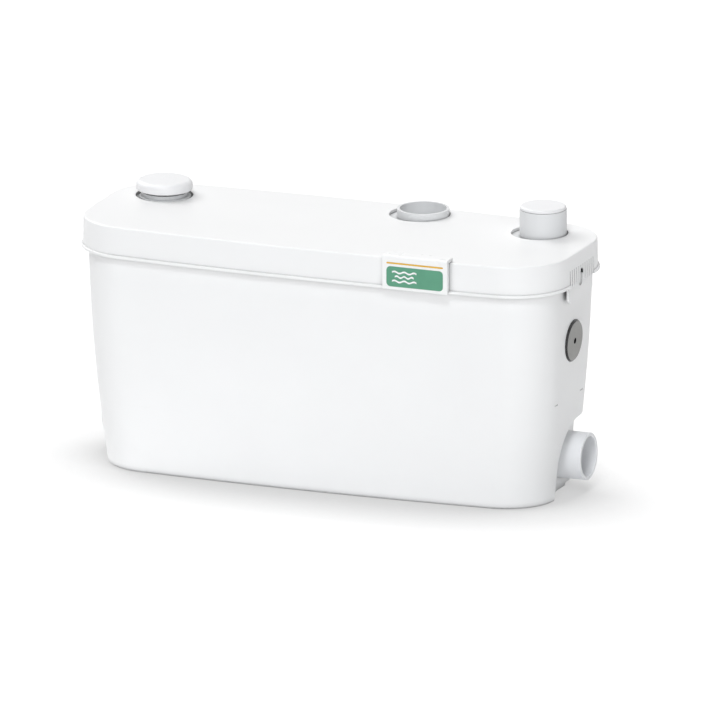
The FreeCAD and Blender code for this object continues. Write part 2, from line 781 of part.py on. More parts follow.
LID_POST_SPOTS = [(-95, -78), (60, -78), (165, -68), (-10, 78),
                  (130, 72), (-165, 75), (-200, -40), (215, -30)]


def make_deck():
    """The plate with its three necks, the raised rounds at their feet and the lid's posts."""
    plan = bowed_sketch("deck_plan", deck_low, lid_plan(size.lid_wall + size.rim_gap))
    plate = extrude("deck_plate", plan, size.deck_height)
    necks = [
        cylinder("neck_vent", size.vent_neck, size.lid_top + size.vent_rise - deck_low,
                 vent_x, vent_y, deck_low),
        cylinder("vent_collar", size.vent_collar, size.lid_top - deck_low,
                 vent_x + size.collar_right, vent_y - size.collar_front, deck_low),
        cylinder("neck_outlet", size.outlet_neck, size.lid_top + size.outlet_rise - deck_low,
                 size.outlet_x, size.outlet_y, deck_low),
        cylinder("neck_inlet", size.inlet_neck, size.lid_top + size.inlet_rise - deck_low,
                 inlet_x, inlet_y, deck_low),
    ]
    posts = screw_holes("lid_posts", LID_POST_SPOTS, deck_top - 1, 4,
                        roof_low - size.clearance - deck_top + 1)
    bores = [
        cylinder("bore_vent", size.vent_bore, 60, vent_x, vent_y, deck_low - 5),
        cylinder("bore_outlet", size.outlet_bore, 60, size.outlet_x, size.outlet_y, deck_top),
        cylinder("bore_riser", size.riser_bore + size.riser_wall, 20,
                 size.riser_x, size.valve_y, deck_low - 5),
        cylinder("bore_inlet", size.inlet_bore, 80, inlet_x, inlet_y, deck_low - 5),
    ]
    window = new_body("deck_window")
    half_x, half_y = size.box_length / 2 - 8, size.box_width / 2 - 8

    def opening(sketch):
        rectangle(sketch, size.box_x - half_x, -half_y, size.box_x + half_x, half_y, 4)

    add(window, "deck_window_pad", opening, deck_low - 5, size.deck_height + 10)
    reach = size.screw_shank + 0.2
    holes = screw_holes("deck_holes", deck_screw_spots(), deck_low - 5, reach, 20)
    motor_holes = screw_holes("deck_motor_holes", motor_screw_spots(), deck_low - 5, reach, 20)
    solid = fuse("deck_solid", plate, neck_shoulders(plan), *necks, posts)
    keep(take("deck", solid, *bores, window, holes, motor_holes))


def make_deck_seal():
    outer_plan = bowed_sketch("seal_outer_plan", tank_top, lid_plan(size.lid_wall + size.rim_gap + 0.5))
    inner_plan = bowed_sketch("seal_inner_plan", tank_top - 1, tank_plan(skirt_low, size.rim_inset - 0.5))
    outer = extrude("seal_outer", outer_plan, size.seal_height)
    inner = extrude("seal_inner", inner_plan, size.seal_height + 2)
    holes = screw_holes("seal_holes", deck_screw_spots(), tank_top - 1, size.screw_shank + 0.2,
                        size.seal_height + 2)
    keep(take("deck_seal", outer, inner, holes))


def motor_screw_spots(x=size.pump_x, y=size.pump_y):
    """Four screws on the motor's flange, round one middle."""
    reach = (size.motor_flange + size.motor_radius) / 2 * math.sqrt(0.5)
    return [(x + reach * way_x, y + reach * way_y) for way_x in (1, -1) for way_y in (1, -1)]


# The lid and what it carries


def end_block(name, side, low, high):
    """A box at one end; X is given for the right-hand end and mirrored for the left."""
    if side > 0:
        return block(name, low, high)
    return block(name, (-measure(high[0]), low[1], low[2]), (-measure(low[0]), high[1], high[2]))


def lid_end_work(side):
    """The tongue, finger slot and grooves of one end: what is added and what is cut."""
    word = "right" if side > 0 else "left"
    low_y, high_y = size.tab_y - size.tab_width / 2, size.tab_y + size.tab_width / 2
    face = lid_end - size.tab_inset
    tab = new_body(f"tab_{word}")

    def tab_outline(sketch):
        chamfer = 4
        outline(sketch, [(low_y + chamfer, size.tab_low), (high_y - chamfer, size.tab_low),
                         (high_y, size.tab_low + chamfer), (high_y, skirt_low + size.bead_height),
                         (low_y, skirt_low + size.bead_height), (low_y, size.tab_low + chamfer)])

    base = face - size.tab_wall if side > 0 else -face
    add(tab, f"tab_pad_{word}", tab_outline, base, size.tab_wall, role="YZ_Plane")
    slot_half, slot_rise = size.slot_width / 2, size.slot_height / 2
    backing = end_block(f"slot_backing_{word}", side,
                        (face - size.tab_wall, size.tab_y - slot_half - 3, size.slot_z - slot_rise),
                        (lid_end - size.lid_wall + 0.5, size.tab_y + slot_half + 3,
                         size.slot_z + slot_rise + 3))
    slot = new_body(f"slot_{word}")

    def slot_outline(sketch):
        rectangle(sketch, size.tab_y - slot_half, size.slot_z - slot_rise,
                  size.tab_y + slot_half, size.slot_z + slot_rise, slot_half - 0.01)

    slot_floor = face - size.tab_wall + 0.8
    add(slot, f"slot_pad_{word}", slot_outline, slot_floor if side > 0 else -far_out, far_out - slot_floor,
        role="YZ_Plane")
    hole = cylinder(f"slot_hole_{word}", size.slot_hole, 12, (face - 8) * side, size.tab_y,
                    size.slot_z + size.slot_hole_rise, TO_RIGHT if side > 0 else TO_LEFT)
    comb = new_body(f"grooves_{word}")
    count = int(size.groove_count.number)
    groove_low, groove_high = skirt_low - 1, size.lid_top - size.groove_top

    def comb_outline(sketch):
        for k in range(count):
            middle = size.tab_y + size.groove_pitch * (k - (count - 1) / 2)
            rectangle(sketch, middle - size.groove_width / 2, groove_low,
                      middle + size.groove_width / 2, groove_high)

    floor = lid_end - size.groove_depth
    add(comb, f"grooves_pad_{word}", comb_outline, floor if side > 0 else -far_out, far_out - floor,
        role="YZ_Plane")
    return (tab, backing), (slot, hole, comb)


def make_lid():
    foot = bowed_sketch("lid_foot_plan", skirt_low, lid_plan(-size.lid_draft))
    head = bowed_sketch("lid_head_plan", size.lid_top, lid_plan(0))
    skirt = round_edges("lid_form", loft("lid_skirt_form", [foot, head], ruled=True), size.lid_edge,
                        lambda edge: min(edge_heights(edge)) > size.lid_top.number - 0.001)
    bead_plan = bowed_sketch("bead_plan", skirt_low, lid_plan(-size.bead_reach))
    band = round_edges("bead_band", extrude("bead_form", bead_plan, size.bead_height), size.bead_edge,
                       lambda edge: max(edge_heights(edge)) - min(edge_heights(edge)) < 0.001)
    low_y, high_y = size.tab_y - size.tab_width / 2 - 0.5, size.tab_y + size.tab_width / 2 + 0.5
    gaps = [end_block(f"bead_gap_{word}", side, (lid_end - 20, low_y, skirt_low - 1),
                      (far_out, high_y, skirt_low + 10)) for side, word in SIDES]
    bead = take("bead", band, *gaps)
    inside = extrude("lid_inside", bowed_sketch("lid_inside_plan", skirt_low - 1, lid_plan(size.lid_wall)),
                     roof_low - skirt_low + 1)
    holes = [cylinder(f"lid_{word}_hole", radius, 60, x, y, deck_low)
             for word, radius, x, y in lid_hole_spots()]
    notch_x = size.outlet_x - size.hole_left
    holes.append(block("lid_outlet_notch", (notch_x - size.outlet_notch / 2, size.outlet_y, deck_low),
                       (notch_x + size.outlet_notch / 2, lid_side + 10, deck_low + 60)))
    hollow = take("lid_hollow", fuse("lid_form_and_bead", skirt, bead), inside, *holes)
    right_added, right_cut = lid_end_work(1)
    left_added, left_cut = lid_end_work(-1)
    solid = fuse("lid_solid", hollow, *right_added, *left_added)
    keep(take("lid", solid, *right_cut, *left_cut))


def make_badge():
    """The clip-on plate over the lid's front edge, left blank."""
    face = lid_side + size.badge_reach
    top = size.lid_top + size.badge_top
    low = skirt_low + 0.9
    half = size.badge_width / 2
    near_x = size.badge_x - half
    lid_face = lid_side + size.lid_draft - near_x * near_x / (2 * size.side_bow) + size.clearance
    bead_face = lid_face + size.bead_reach - size.lid_draft
    bead_top = skirt_low + size.bead_height + size.clearance
    under = top - size.badge_wall
    body = new_body("badge")

    def section(sketch):
        outline(sketch, [(-face, low), (-bead_face, low), (-bead_face, bead_top), (-lid_face, bead_top),
                         (-lid_face, under), (size.badge_back - lid_side, under),
                         (size.badge_back - lid_side, top, 1), (-face, top, 2.5)])

    add(body, "badge_pad", section, size.badge_x - half, size.badge_width, role="YZ_Plane")
    keep(body)


# Vent cap, top plug and side plug: each lifts off or pulls out by hand


def make_vent():
    neck_top = size.lid_top + size.vent_rise
    low = neck_top + size.cap_lift
    barrel = size.vent_bore - size.clearance
    reach = neck_top - 12
    top = low + size.cap_side
    cap = turned("vent_cap", [(0, reach), (barrel, reach), (barrel, low),
                              (size.cap_radius, low, size.cap_rim), (size.cap_radius, top, size.cap_edge),
                              (size.cap_radius - size.cap_edge - 1, top), (0, top + size.cap_dome)],
                 vent_x, vent_y)
    rib_half = 1.2

    def rib(sketch):
        rectangle(sketch, barrel - 1, -rib_half, size.vent_neck - 1, rib_half)

    ribs = add(cap, "vent_cap_rib", rib, neck_top + size.clearance, size.cap_lift - size.clearance)
    around(cap, ribs, 6)
    keep(cap)
    filter_low = reach - size.filter_length
    filter_edge = barrel - 0.5
    keep(turned("carbon_filter", [(0, filter_low), (filter_edge, filter_low, 1), (filter_edge, reach),
                                  (0, reach)], vent_x, vent_y))


def make_top_plug():
    seat = size.lid_top + size.inlet_rise
    low = seat + size.clearance
    barrel = size.inlet_bore - size.clearance
    high = low + size.plug_disc_height
    groove_low, groove_high = seat - 8, seat - 5
    groove = barrel - 1.5
    keep(turned("top_plug", [(0, seat - 3), (barrel - 3, seat - 3), (barrel - 3, seat - size.plug_length),
                             (barrel, seat - size.plug_length), (barrel, groove_low), (groove, groove_low),
                             (groove, groove_high), (barrel, groove_high), (barrel, low),
                             (size.plug_disc, low), (size.plug_disc, high, 2), (0, high)],
                inlet_x, inlet_y))
    keep(ring("top_plug_ring", groove, barrel + 0.1, groove_low, groove_high, inlet_x, inlet_y))


def make_side_plug():
    """The round plug in the right-hand end, square to its leaning seat."""
    place_at = side_plug_spot(-size.clearance)
    barrel = size.side_plug_barrel
    proud = size.side_plug_proud
    length = size.side_plug_seat - 1
    edge, dimple = size.side_plug_radius, size.plug_dimple
    seat = barrel - 1.4
    keep(turned("side_plug", [(0, -length), (barrel - 4, -length), (barrel - 4, -1.5), (barrel - 2, -1.5),
                              (barrel - 2, -length), (seat, -length), (seat, -6), (barrel, -6),
                              (barrel, 0), (edge, 0), (edge, 0.8), (edge - 1.3, proud), (dimple, proud),
                              (dimple, proud - dimple), (0, proud - dimple)],
                *place_at, SIDE_PLUG_WAY))
    keep(ring("side_plug_ring", seat, barrel + 0.1, -9, -6, *place_at, SIDE_PLUG_WAY))


# Side inlets: one open, with a flap inside the tank, and one blanked off


def spigot_profile():
    """Local Z is the inlet's axis, counted outwards from the niche's back wall."""
    reach = size.niche_inset - size.spigot_inset
    inner = -size.tank_wall
    foot = inner - size.flange_height
    return [(size.spigot_bore, foot), (size.spigot_flange, foot), (size.spigot_flange, inner),
            (size.spigot_root, inner), (size.spigot_root, 0), (size.spigot_radius, 0),
            (size.spigot_radius, reach, 0.8), (size.spigot_bore, reach, 0.8)]


def make_inlets():
    wall = lid_end - size.niche_inset
    y, z = size.spigot_y, size.spigot_z
    right = turned("right_inlet", spigot_profile(), wall, y, z, TO_RIGHT)
    left = turned("left_inlet", spigot_profile(), -wall, y, z, TO_LEFT)
    inner_face = -(size.tank_wall + size.flange_height)
    ears_z = inner_face - 3
    pin_height = size.flap_pin

    def ears(sketch):
        for low in (-11, 8):
            rectangle(sketch, -pin_height - 4, low, -size.spigot_bore - 2, low + 3)

    add(right, "inlet_ears", ears, ears_z - 3, 6)

    def pin_holes(sketch):
        circle(sketch, -pin_height, ears_z, 1.25)

    cut(right, "inlet_pin_holes", pin_holes, -20, 40, role="XZ_Plane")
    keep(right)
    keep(left)
    pin_x, pin_z = wall + ears_z, z + pin_height
    keep(cylinder("inlet_flap_pin", 1.2, 22, pin_x, y - 11, pin_z, TO_BACK))
    make_inlet_flap(pin_x, pin_z)
    reach = size.niche_inset - size.spigot_inset
    outside = size.spigot_radius + 2.5
    keep(turned("left_cap", [(size.spigot_radius + size.clearance, reach - 14), (outside, reach - 14, 0.8),
                             (outside, reach + 2.5, 1.5), (0, reach + 2.5), (0, reach + size.clearance),
                             (size.spigot_radius + size.clearance, reach + size.clearance)],
                -wall, y, z, TO_LEFT))


def make_inlet_flap(pin_x, pin_z):
    """Hangs from its pin and swings into the tank."""
    y = size.spigot_y
    flap = new_body("inlet_flap", pin_x, y, pin_z)
    face = 3 - size.clearance - 2.5
    drop = -size.flap_pin

    def disc(sketch):
        circle(sketch, 0, drop, size.spigot_bore + 2)

    add(flap, "inlet_flap_disc", disc, face, 2.5, role="YZ_Plane")

    def stem(sketch):
        rectangle(sketch, -5, drop + 10, 5, -1.5)

    add(flap, "inlet_flap_stem", stem, face, 2.5, role="YZ_Plane")

    def knuckle(sketch):
        circle(sketch, 0, 0, 2.8)

    add(flap, "inlet_flap_knuckle", knuckle, -7.5, 15, role="XZ_Plane")

    def bore(sketch):
        circle(sketch, 0, 0, 1.2 + size.running_gap)

    cut(flap, "inlet_flap_bore", bore, -10, 20, role="XZ_Plane")
    keep(flap)


# Motor and pump, hung under the deck


def make_motor():
    x, y = size.pump_x, size.pump_y
    low, inside = size.motor_low, size.motor_radius - size.motor_wall
    floor = low + 6
    boss, boss_top = size.bearing_radius + 4, floor + 4 + size.bearing_height
    seat = floor + 4
    seal_seat = low + 4
    housing = turned("motor_housing", [
        (13, low), (size.motor_radius, low), (size.motor_radius, deck_low - 4),
        (size.motor_flange, deck_low - 4), (size.motor_flange, deck_low), (inside, deck_low),
        (inside, floor), (boss, floor), (boss, boss_top),
        (size.bearing_radius, boss_top), (size.bearing_radius, seat), (size.shaft_radius + 1, seat),
        (size.shaft_radius + 1, seal_seat), (13, seal_seat)], x, y)

    def fin(sketch):
        rectangle(sketch, size.motor_radius - 1, -1.2, size.motor_radius + 4, 1.2)

    fins = add(housing, "cooling_fin", fin, low + 30, deck_low - 8 - low - 30)
    around(housing, fins, 16)

    def screw_ring(sketch):
        for u, v in motor_screw_spots(0, 0):
            circle(sketch, u, v, size.screw_shank + size.running_gap)

    cut(housing, "motor_screw_holes", screw_ring, deck_low - 5, 6)
    keep(housing)
    make_stator(x, y, inside)
    plate_low = size.stator_low + size.stator_height + size.winding_height + 8
    hub_low = plate_low - 4
    hub_high = hub_low + size.bearing_height + 4
    keep(turned("bearing_plate", [
        (size.shaft_radius + 1, hub_low), (boss, hub_low), (boss, plate_low), (inside, plate_low),
        (inside, plate_low + 5), (boss, plate_low + 5), (boss, hub_high), (size.bearing_radius, hub_high),
        (size.bearing_radius, hub_low + 3), (size.shaft_radius + 1, hub_low + 3)], x, y))
    bearing("upper_bearing", hub_low + 3)
    bearing("lower_bearing", seat)
    keep(ring("shaft_seal_seat", size.shaft_radius + size.running_gap, 13, low - 1, seal_seat, x, y))
    make_rotor(low, hub_high)


def bearing(name, low):
    """A ball bearing drawn as races and shields in one turned ring."""
    high = low + size.bearing_height
    bore = size.shaft_radius + size.running_gap
    mid_in, mid_out = size.shaft_radius + 3.5, size.bearing_radius - 3
    keep(turned(name, [(bore, low), (mid_in, low), (mid_in, low + 1), (mid_out, low + 1), (mid_out, low),
                       (size.bearing_radius, low), (size.bearing_radius, high), (mid_out, high),
                       (mid_out, high - 1), (mid_in, high - 1), (mid_in, high), (bore, high)],
                size.pump_x, size.pump_y))


def make_stator(x, y, inside):
    low, high = size.stator_low, size.stator_low + size.stator_height
    stator = ring("stator", size.stator_bore, inside, low, high, x, y)

    def slot(sketch):
        rectangle(sketch, size.stator_bore - 1, -1, size.stator_bore + 3, 1)
        rectangle(sketch, size.stator_bore + 4, -3, size.stator_bore + 15, 3)

    slots = cut(stator, "stator_slot", slot, low - 1, size.stator_height + 2)
    around(stator, slots, 12)
    keep(stator)
    inner, outer = size.stator_bore + 4, inside - 5
    gap = size.winding_height
    windings = new_body("windings", x, y)

    def turns(sketch):
        circle(sketch, 0, 0, outer)
        circle(sketch, 0, 0, inner)

    add(windings, "windings_upper", turns, high, gap)
    add(windings, "windings_lower", turns, low - gap, gap)
    keep(windings)


def make_rotor(low, hub_high):
    x, y = size.pump_x, size.pump_y
    chamber_low = low - size.chamber_height
    impeller_low, plate = chamber_low + 2.5, chamber_low + 14
    hub_top = plate + 3
    nut_low = impeller_low - 6
    keep(turned("shaft", [(0, nut_low - 0.5), (size.shaft_radius, nut_low - 0.5, 0.5),
                          (size.shaft_radius, hub_high + 1, 0.5), (0, hub_high + 1)], x, y))
    keep(ring("rotor_core", size.shaft_radius, size.stator_bore - size.air_gap,
              size.stator_low - 2, size.stator_low + size.stator_height + 2, x, y))
    keep(ring("seal_ring", size.shaft_radius, 11, hub_top, low - 1 - size.clearance, x, y))
    impeller = turned("impeller", [(size.shaft_radius, impeller_low), (10, impeller_low), (10, plate),
                                   (size.impeller_radius, plate), (size.impeller_radius, hub_top),
                                   (size.shaft_radius, hub_top)], x, y)

    def vane(sketch):
        curved_vane(sketch, measure(9), size.impeller_radius, 3)

    vanes = add(impeller, "vane", vane, impeller_low, plate - impeller_low + 0.5)
    around(impeller, vanes, 6)
    keep(impeller)
    nut = new_body("impeller_nut", x, y)

    def nut_plan(sketch):
        hexagon(sketch, 9.2, size.shaft_radius)

    add(nut, "impeller_nut_pad", nut_plan, nut_low, impeller_low - nut_low)
    keep(nut)


def hexagon(sketch, corner, hole):
    """A nut's plan: its corners lie `corner` from the middle, round a hole."""
    outline(sketch, [(corner * math.cos(math.radians(60 * k)), corner * math.sin(math.radians(60 * k)))
                     for k in range(6)])
    circle(sketch, 0, 0, hole)


def curved_vane(sketch, start, end, thickness):
    """One backward-curved vane: two arcs from the hub to the rim, closed by short lines."""
    reach = end.number - start.number
    bend = reach * 0.75
    middle_x = (start.number + end.number) / 2
    rise = math.sqrt(bend**2 - (reach / 2)**2)
    sides = []
    for radius in (bend, bend + thickness):
        first = math.atan2(rise, start.number - middle_x)
        last = math.atan2(rise, end.number - middle_x)
        sides.append(arc(middle_x, -rise, radius, last, first))
    for side in sides:
        sketch.addGeometry(side, False)
    inner, outer = sides
    sketch.addGeometry(Part.LineSegment(inner.StartPoint, outer.StartPoint), False)
    sketch.addGeometry(Part.LineSegment(inner.EndPoint, outer.EndPoint), False)


def volute_sketch(name, height, offset):
    """A spiral of four quarter arcs that grows the way the water turns."""
    sketch = doc.addObject("Sketcher::SketchObject", name)
    place(sketch, size.pump_x, size.pump_y, height)
    start, step = size.volute_start.number, size.volute_step.number
    grow = measure(offset).number
    quarter = math.pi / 2
    centres = [(0, 0), (-step, 0), (-step, step), (0, step)]
    angles = [0, -quarter, -2 * quarter, -3 * quarter]
    arcs = [arc(x, y, start + step * k + grow, angles[k], angles[k] + quarter)
            for k, (x, y) in enumerate(centres)]
    for item in arcs:
        sketch.addGeometry(item, False)
    last = start + step * 3 + grow
    sketch.addGeometry(Part.LineSegment(Vector(0, step + last, 0), arcs[0].EndPoint), False)
    return sketch


def nozzle_y():
    """Y of the discharge nozzle's axis, midway across the mouth of the volute."""
    return size.pump_y + size.volute_start + size.volute_step * 2


def nozzle_z():
    """Height of that axis: the nozzle's bore stands on the chamber's floor."""
    return size.motor_low - size.chamber_height + size.riser_bore


def make_casing():
    x = size.pump_x
    low = size.motor_low - size.chamber_height - 4
    chamber = size.motor_low - size.chamber_height
    outer_plan = volute_sketch("casing_outer_plan", low, size.casing_wall)
    outer = extrude("casing_outer", outer_plan, size.motor_low - low)
    inner = extrude("casing_inner", volute_sketch("casing_inner_plan", chamber, 0), size.chamber_height + 1)
    middle = nozzle_z()
    outside = size.riser_bore + size.riser_wall
    length = nozzle_length()
    nozzle = cylinder("nozzle", outside, length, x, nozzle_y(), middle, TO_RIGHT)
    nozzle_bore = cylinder("nozzle_bore", size.riser_bore, length + 2, x, nozzle_y(), middle, TO_RIGHT)
    eye = cylinder("casing_eye", 17, 12, x, size.pump_y, low - 2)
    solid = fuse("casing_solid", outer, nozzle)
    keep(take("pump_casing", solid, inner, nozzle_bore, eye))
    strainer_low = 13
    radius, wall = 34, 2.5
    strainer = turned("strainer", [(0, strainer_low), (radius, strainer_low, 3), (radius, low),
                                   (radius - wall, low), (radius - wall, strainer_low + wall),
                                   (0, strainer_low + wall)], x, size.pump_y)

    def slot(sketch):
        rectangle(sketch, radius - 8, -2.2, radius + 5, 2.2, 1)

    slots = cut(strainer, "strainer_slot", slot, strainer_low + 6, size.strainer_slots)
    around(strainer, slots, 16)
    keep(strainer)


def nozzle_length():
    return size.riser_x - size.elbow_radius - size.pump_x


def make_riser():
    """Elbow, hose, clamps and check valve between the pump and the outlet socket."""
    middle = nozzle_z()
    outside = size.riser_bore + size.riser_wall
    x, y = size.riser_x, nozzle_y()
    elbow_top = middle + size.elbow_radius
    elbow = new_body("discharge_elbow", x, y, middle)
    make_elbow(elbow, outside, elbow_top - middle)
    keep(elbow)
    valve_low = deck_low - size.valve_height
    hose_low, hose_high = elbow_top + 6, valve_low - 2
    keep(ring("riser_hose", outside, outside + 3, hose_low, hose_high, x, y))
    clamps = new_body("hose_clamps", x, y)

    def band(sketch):
        circle(sketch, 0, 0, outside + 4.2)
        circle(sketch, 0, 0, outside + 3)

    def lug(sketch):
        rectangle(sketch, outside + 3.8, -4, outside + 9, 4, 1)

    for word, base in (("low", hose_low + 4), ("high", hose_high - 12)):
        add(clamps, f"clamp_band_{word}", band, base, 8)
        add(clamps, f"clamp_lug_{word}", lug, base, 8)
    keep(clamps)
    make_check_valve(x, y, valve_low, outside)


def make_elbow(body, outside, rise):
    """A quarter bend, then an upright stub for the hose."""
    bend = size.elbow_radius
    for word, radius in (("outer", outside), ("bore", size.riser_bore)):
        sketch = body_sketch(body, f"elbow_{word}_sketch", "YZ_Plane", -bend)
        circle(sketch, 0, 0, radius)
        kind = "PartDesign::AdditivePipe" if word == "outer" else "PartDesign::SubtractivePipe"
        path = body_sketch(body, f"elbow_{word}_path", "XZ_Plane", 0)
        reach, stub_end = bend.number, (rise + size.elbow_stub).number
        way = path.addGeometry(arc(-reach, reach, reach, -math.pi / 2, 0), False)
        stub = path.addGeometry(Part.LineSegment(Vector(0, reach, 0), Vector(0, stub_end, 0)), False)
        path.addConstraint(Sketcher.Constraint("Tangent", way, 2, stub, 1))
        hold(path, "Radius", way, length=bend)
        hold(path, "DistanceX", ORIGIN, 1, way, 3, length=-bend)
        hold(path, "DistanceY", ORIGIN, 1, way, 3, length=bend)
        hold(path, "DistanceX", ORIGIN, 1, way, 1, length=-bend)
        path.addConstraint(Sketcher.Constraint("Vertical", stub))
        hold(path, "DistanceY", ORIGIN, 1, stub, 2, length=rise + size.elbow_stub)
        pipe = body.newObject(kind, f"elbow_{word}")
        pipe.Profile = sketch
        pipe.Spine = path


def make_check_valve(x, y, low, outside):
    bore, chamber = size.riser_bore, size.valve_radius - 3
    seat = low + 4
    body = turned("valve_body", [
        (bore, low - 24), (outside, low - 24), (outside, low), (size.valve_radius, low),
        (size.valve_radius, deck_low - 4), (size.valve_radius + 2.5, deck_low - 4),
        (size.valve_radius + 2.5, deck_low), (chamber, deck_low), (chamber, seat), (bore, seat)], x, y)
    pin_y, pin_z = 4 - chamber, seat + 4

    def pin_hole(sketch):
        circle(sketch, pin_y, pin_z, 1.2)

    cut(body, "valve_pin_hole", pin_hole, -11, 22, role="YZ_Plane")
    keep(body)
    keep(cylinder("valve_pin", 1.2, 22, x - 11, y + pin_y, pin_z, TO_RIGHT))
    flap = new_body("valve_flap", x, y + pin_y, pin_z)
    radius = bore + 3.5
    away = -pin_y
    base = seat + size.clearance - pin_z

    def disc(sketch):
        circle(sketch, 0, away, radius)

    add(flap, "valve_flap_disc", disc, base, 2.4)

    def stem(sketch):
        rectangle(sketch, -4, -1.5, 4, away - 6)

    add(flap, "valve_flap_stem", stem, base, 2.4)

    def knuckle(sketch):
        circle(sketch, 0, 0, 2.6)

    add(flap, "valve_flap_knuckle", knuckle, -5, 10, role="YZ_Plane")

    def bore_ring(sketch):
        circle(sketch, 0, 0, 1.2 + size.running_gap)

    cut(flap, "valve_flap_bore", bore_ring, -8, 16, role="YZ_Plane")
    keep(flap)


# Level tube and pressure switch


def make_level_switch():
    x, y = size.dip_x, size.dip_y
    radius, wall = size.dip_radius, 1.5
    cup_low = deck_low - 34
    keep(turned("level_tube", [
        (radius + 4, size.dip_low), (radius + 6, size.dip_low), (radius + 6, size.dip_low + 12),
        (radius, size.dip_low + 20), (radius, cup_low), (radius - wall, cup_low),
        (radius - wall, size.dip_low + 19), (radius + 4, size.dip_low + 11)], x, y))
    cup, hollow, stem = 22, 19, 3
    keep(turned("switch_base", [
        (stem, cup_low), (cup, cup_low, 1), (cup, cup_low + 10), (hollow, cup_low + 10),
        (hollow, cup_low + 3), (stem, cup_low + 3)], x, y))
    membrane_low = cup_low + 10
    keep(turned("switch_membrane", [(0, membrane_low), (cup, membrane_low), (cup, membrane_low + 1),
                                    (0, membrane_low + 1)], x, y))
    cover_low = membrane_low + 1
    guide = stem + size.running_gap
    keep(turned("switch_cover", [
        (hollow, cover_low), (cup, cover_low), (cup, cover_low + 11, 1), (guide, cover_low + 11),
        (guide, cover_low + 8), (hollow, cover_low + 8)], x, y))
    disc, disc_low = 9, cover_low + size.clearance
    keep(turned("switch_plunger", [
        (0, disc_low), (disc, disc_low), (disc, cover_low + 2), (stem, cover_low + 2),
        (stem, cover_low + 13.5), (0, cover_low + 13.5)], x, y))
    body = new_body("microswitch", x, y)
    base = cover_low + 15.5

    def case(sketch):
        rectangle(sketch, -10, -5, 10, 5, 1)

    add(body, "microswitch_pad", case, base, deck_low - base)

    def legs(sketch):
        for low_u in (-10, 7):
            rectangle(sketch, low_u, -4, low_u + 3, 4)

    add(body, "microswitch_legs", legs, cover_low + 11, base - cover_low - 11)
    keep(body)


# Control box under the deck, and the cable gland in the back wall


def make_controls():
    half_x, half_y = size.box_length / 2, size.box_width / 2
    low, wall = deck_low - size.box_depth, size.box_wall
    box = new_body("control_box", size.box_x)

    def outer(sketch):
        rectangle(sketch, -half_x + 4, -half_y + 4, half_x - 4, half_y - 4, 5)

    def flange(sketch):
        rectangle(sketch, -half_x, -half_y, half_x, half_y, 5)

    def inner(sketch):
        rectangle(sketch, -half_x + 4 + wall, -half_y + 4 + wall, half_x - 4 - wall, half_y - 4 - wall, 3)

    add(box, "box_walls", outer, low, size.box_depth)
    add(box, "box_flange", flange, deck_low - 3, 3)
    cut(box, "box_hollow", inner, low + wall, size.box_depth)
    keep(box)
    floor = low + wall
    board = new_body("circuit_board", size.box_x)
    clear = 4 + wall + 1

    def board_plan(sketch):
        rectangle(sketch, -half_x + clear, -half_y + clear, half_x - clear, half_y - clear, 2)

    add(board, "board_plate", board_plan, floor + 6, 1.6)
    post_x, post_y = half_x - clear - 4, half_y - clear - 4
    spots = [(way_x * post_x, way_y * post_y) for way_x in (1, -1) for way_y in (1, -1)]

    def stands(sketch):
        for u, v in spots:
            circle(sketch, u, v, 2.5)

    add(board, "board_stands", stands, floor, 6)
    keep(board)
    deck = floor + 7.6
    relay = new_body("relay", size.box_x)

    def relay_plan(sketch):
        rectangle(sketch, -20, 14, -4, 34, 1)

    add(relay, "relay_case", relay_plan, deck, 16)
    keep(relay)
    terminals = new_body("terminal_block", size.box_x)

    def terminal_plan(sketch):
        rectangle(sketch, 4, -32, 18, 32, 1)

    add(terminals, "terminal_case", terminal_plan, deck, 12)

    def wire_ways(sketch):
        for k in range(6):
            circle(sketch, 11, -25 + 10 * k, 2.6)

    cut(terminals, "terminal_ways", wire_ways, deck + 5, 10)
    keep(terminals)
    keep(turned("capacitor", [(0, 0), (12, 0, 1), (12, 44, 1), (0, 44)],
                size.box_x - 10, -36, deck + 12, TO_BACK))
    cover = new_body("control_cover", size.box_x)

    def cover_plan(sketch):
        rectangle(sketch, -half_x + 2, -half_y + 2, half_x - 2, half_y - 2, 6)

    add(cover, "cover_plate", cover_plan, deck_top, 2.4)
    keep(cover)


def make_gland():
    face = gland_face()
    x, z = size.gland_x, size.gland_z
    gland = turned("cable_gland", [
        (0, -14), (size.gland_radius, -14), (size.gland_radius, 7), (3.4, 7), (3.4, 2), (0, 2)],
        x, face, z, TO_BACK)

    corner = size.gland_radius + 4

    def nut(sketch):
        hexagon(sketch, corner, size.gland_radius - 1)

    add(gland, "gland_nut", nut, 0, 5)
    keep(gland)
    locknut = new_body("gland_locknut", x, face, z, TO_BACK)

    def inner_nut(sketch):
        hexagon(sketch, corner, size.gland_radius)

    add(locknut, "gland_locknut_pad", inner_nut, -12.5, 4.5)
    keep(locknut)


def make_feet():
    feet = new_body("rear_feet")

    def pads(sketch):
        for x in (-180, 180):
            circle(sketch, x, 54, 8)

    add(feet, "rear_feet_pad", pads, 0, size.raised_strip)
    keep(feet)


def check_and_write():
    """Stops on any failed object or piece, then writes one file for each piece."""
    doc.recompute()
    failed = [item.Name for item in doc.Objects if "Invalid" in item.State or "Error" in item.State]
    if failed:
        raise SystemExit(f"failed objects: {failed}")
    os.makedirs("parts", exist_ok=True)
    for piece in pieces:
        shape = piece.Shape
        if shape.isNull() or not shape.isValid() or not shape.Solids:
            raise SystemExit(f"{piece.Label} is not a valid solid")
        shape.exportStep(f"parts/{piece.Label}.step")
        box = shape.BoundBox
        print(f"{piece.Label}: {len(shape.Solids)} solid(s), {shape.Volume / 1000:.2f} cm3, "
              f"{box.XLength:.1f} x {box.YLength:.1f} x {box.ZLength:.1f} mm")


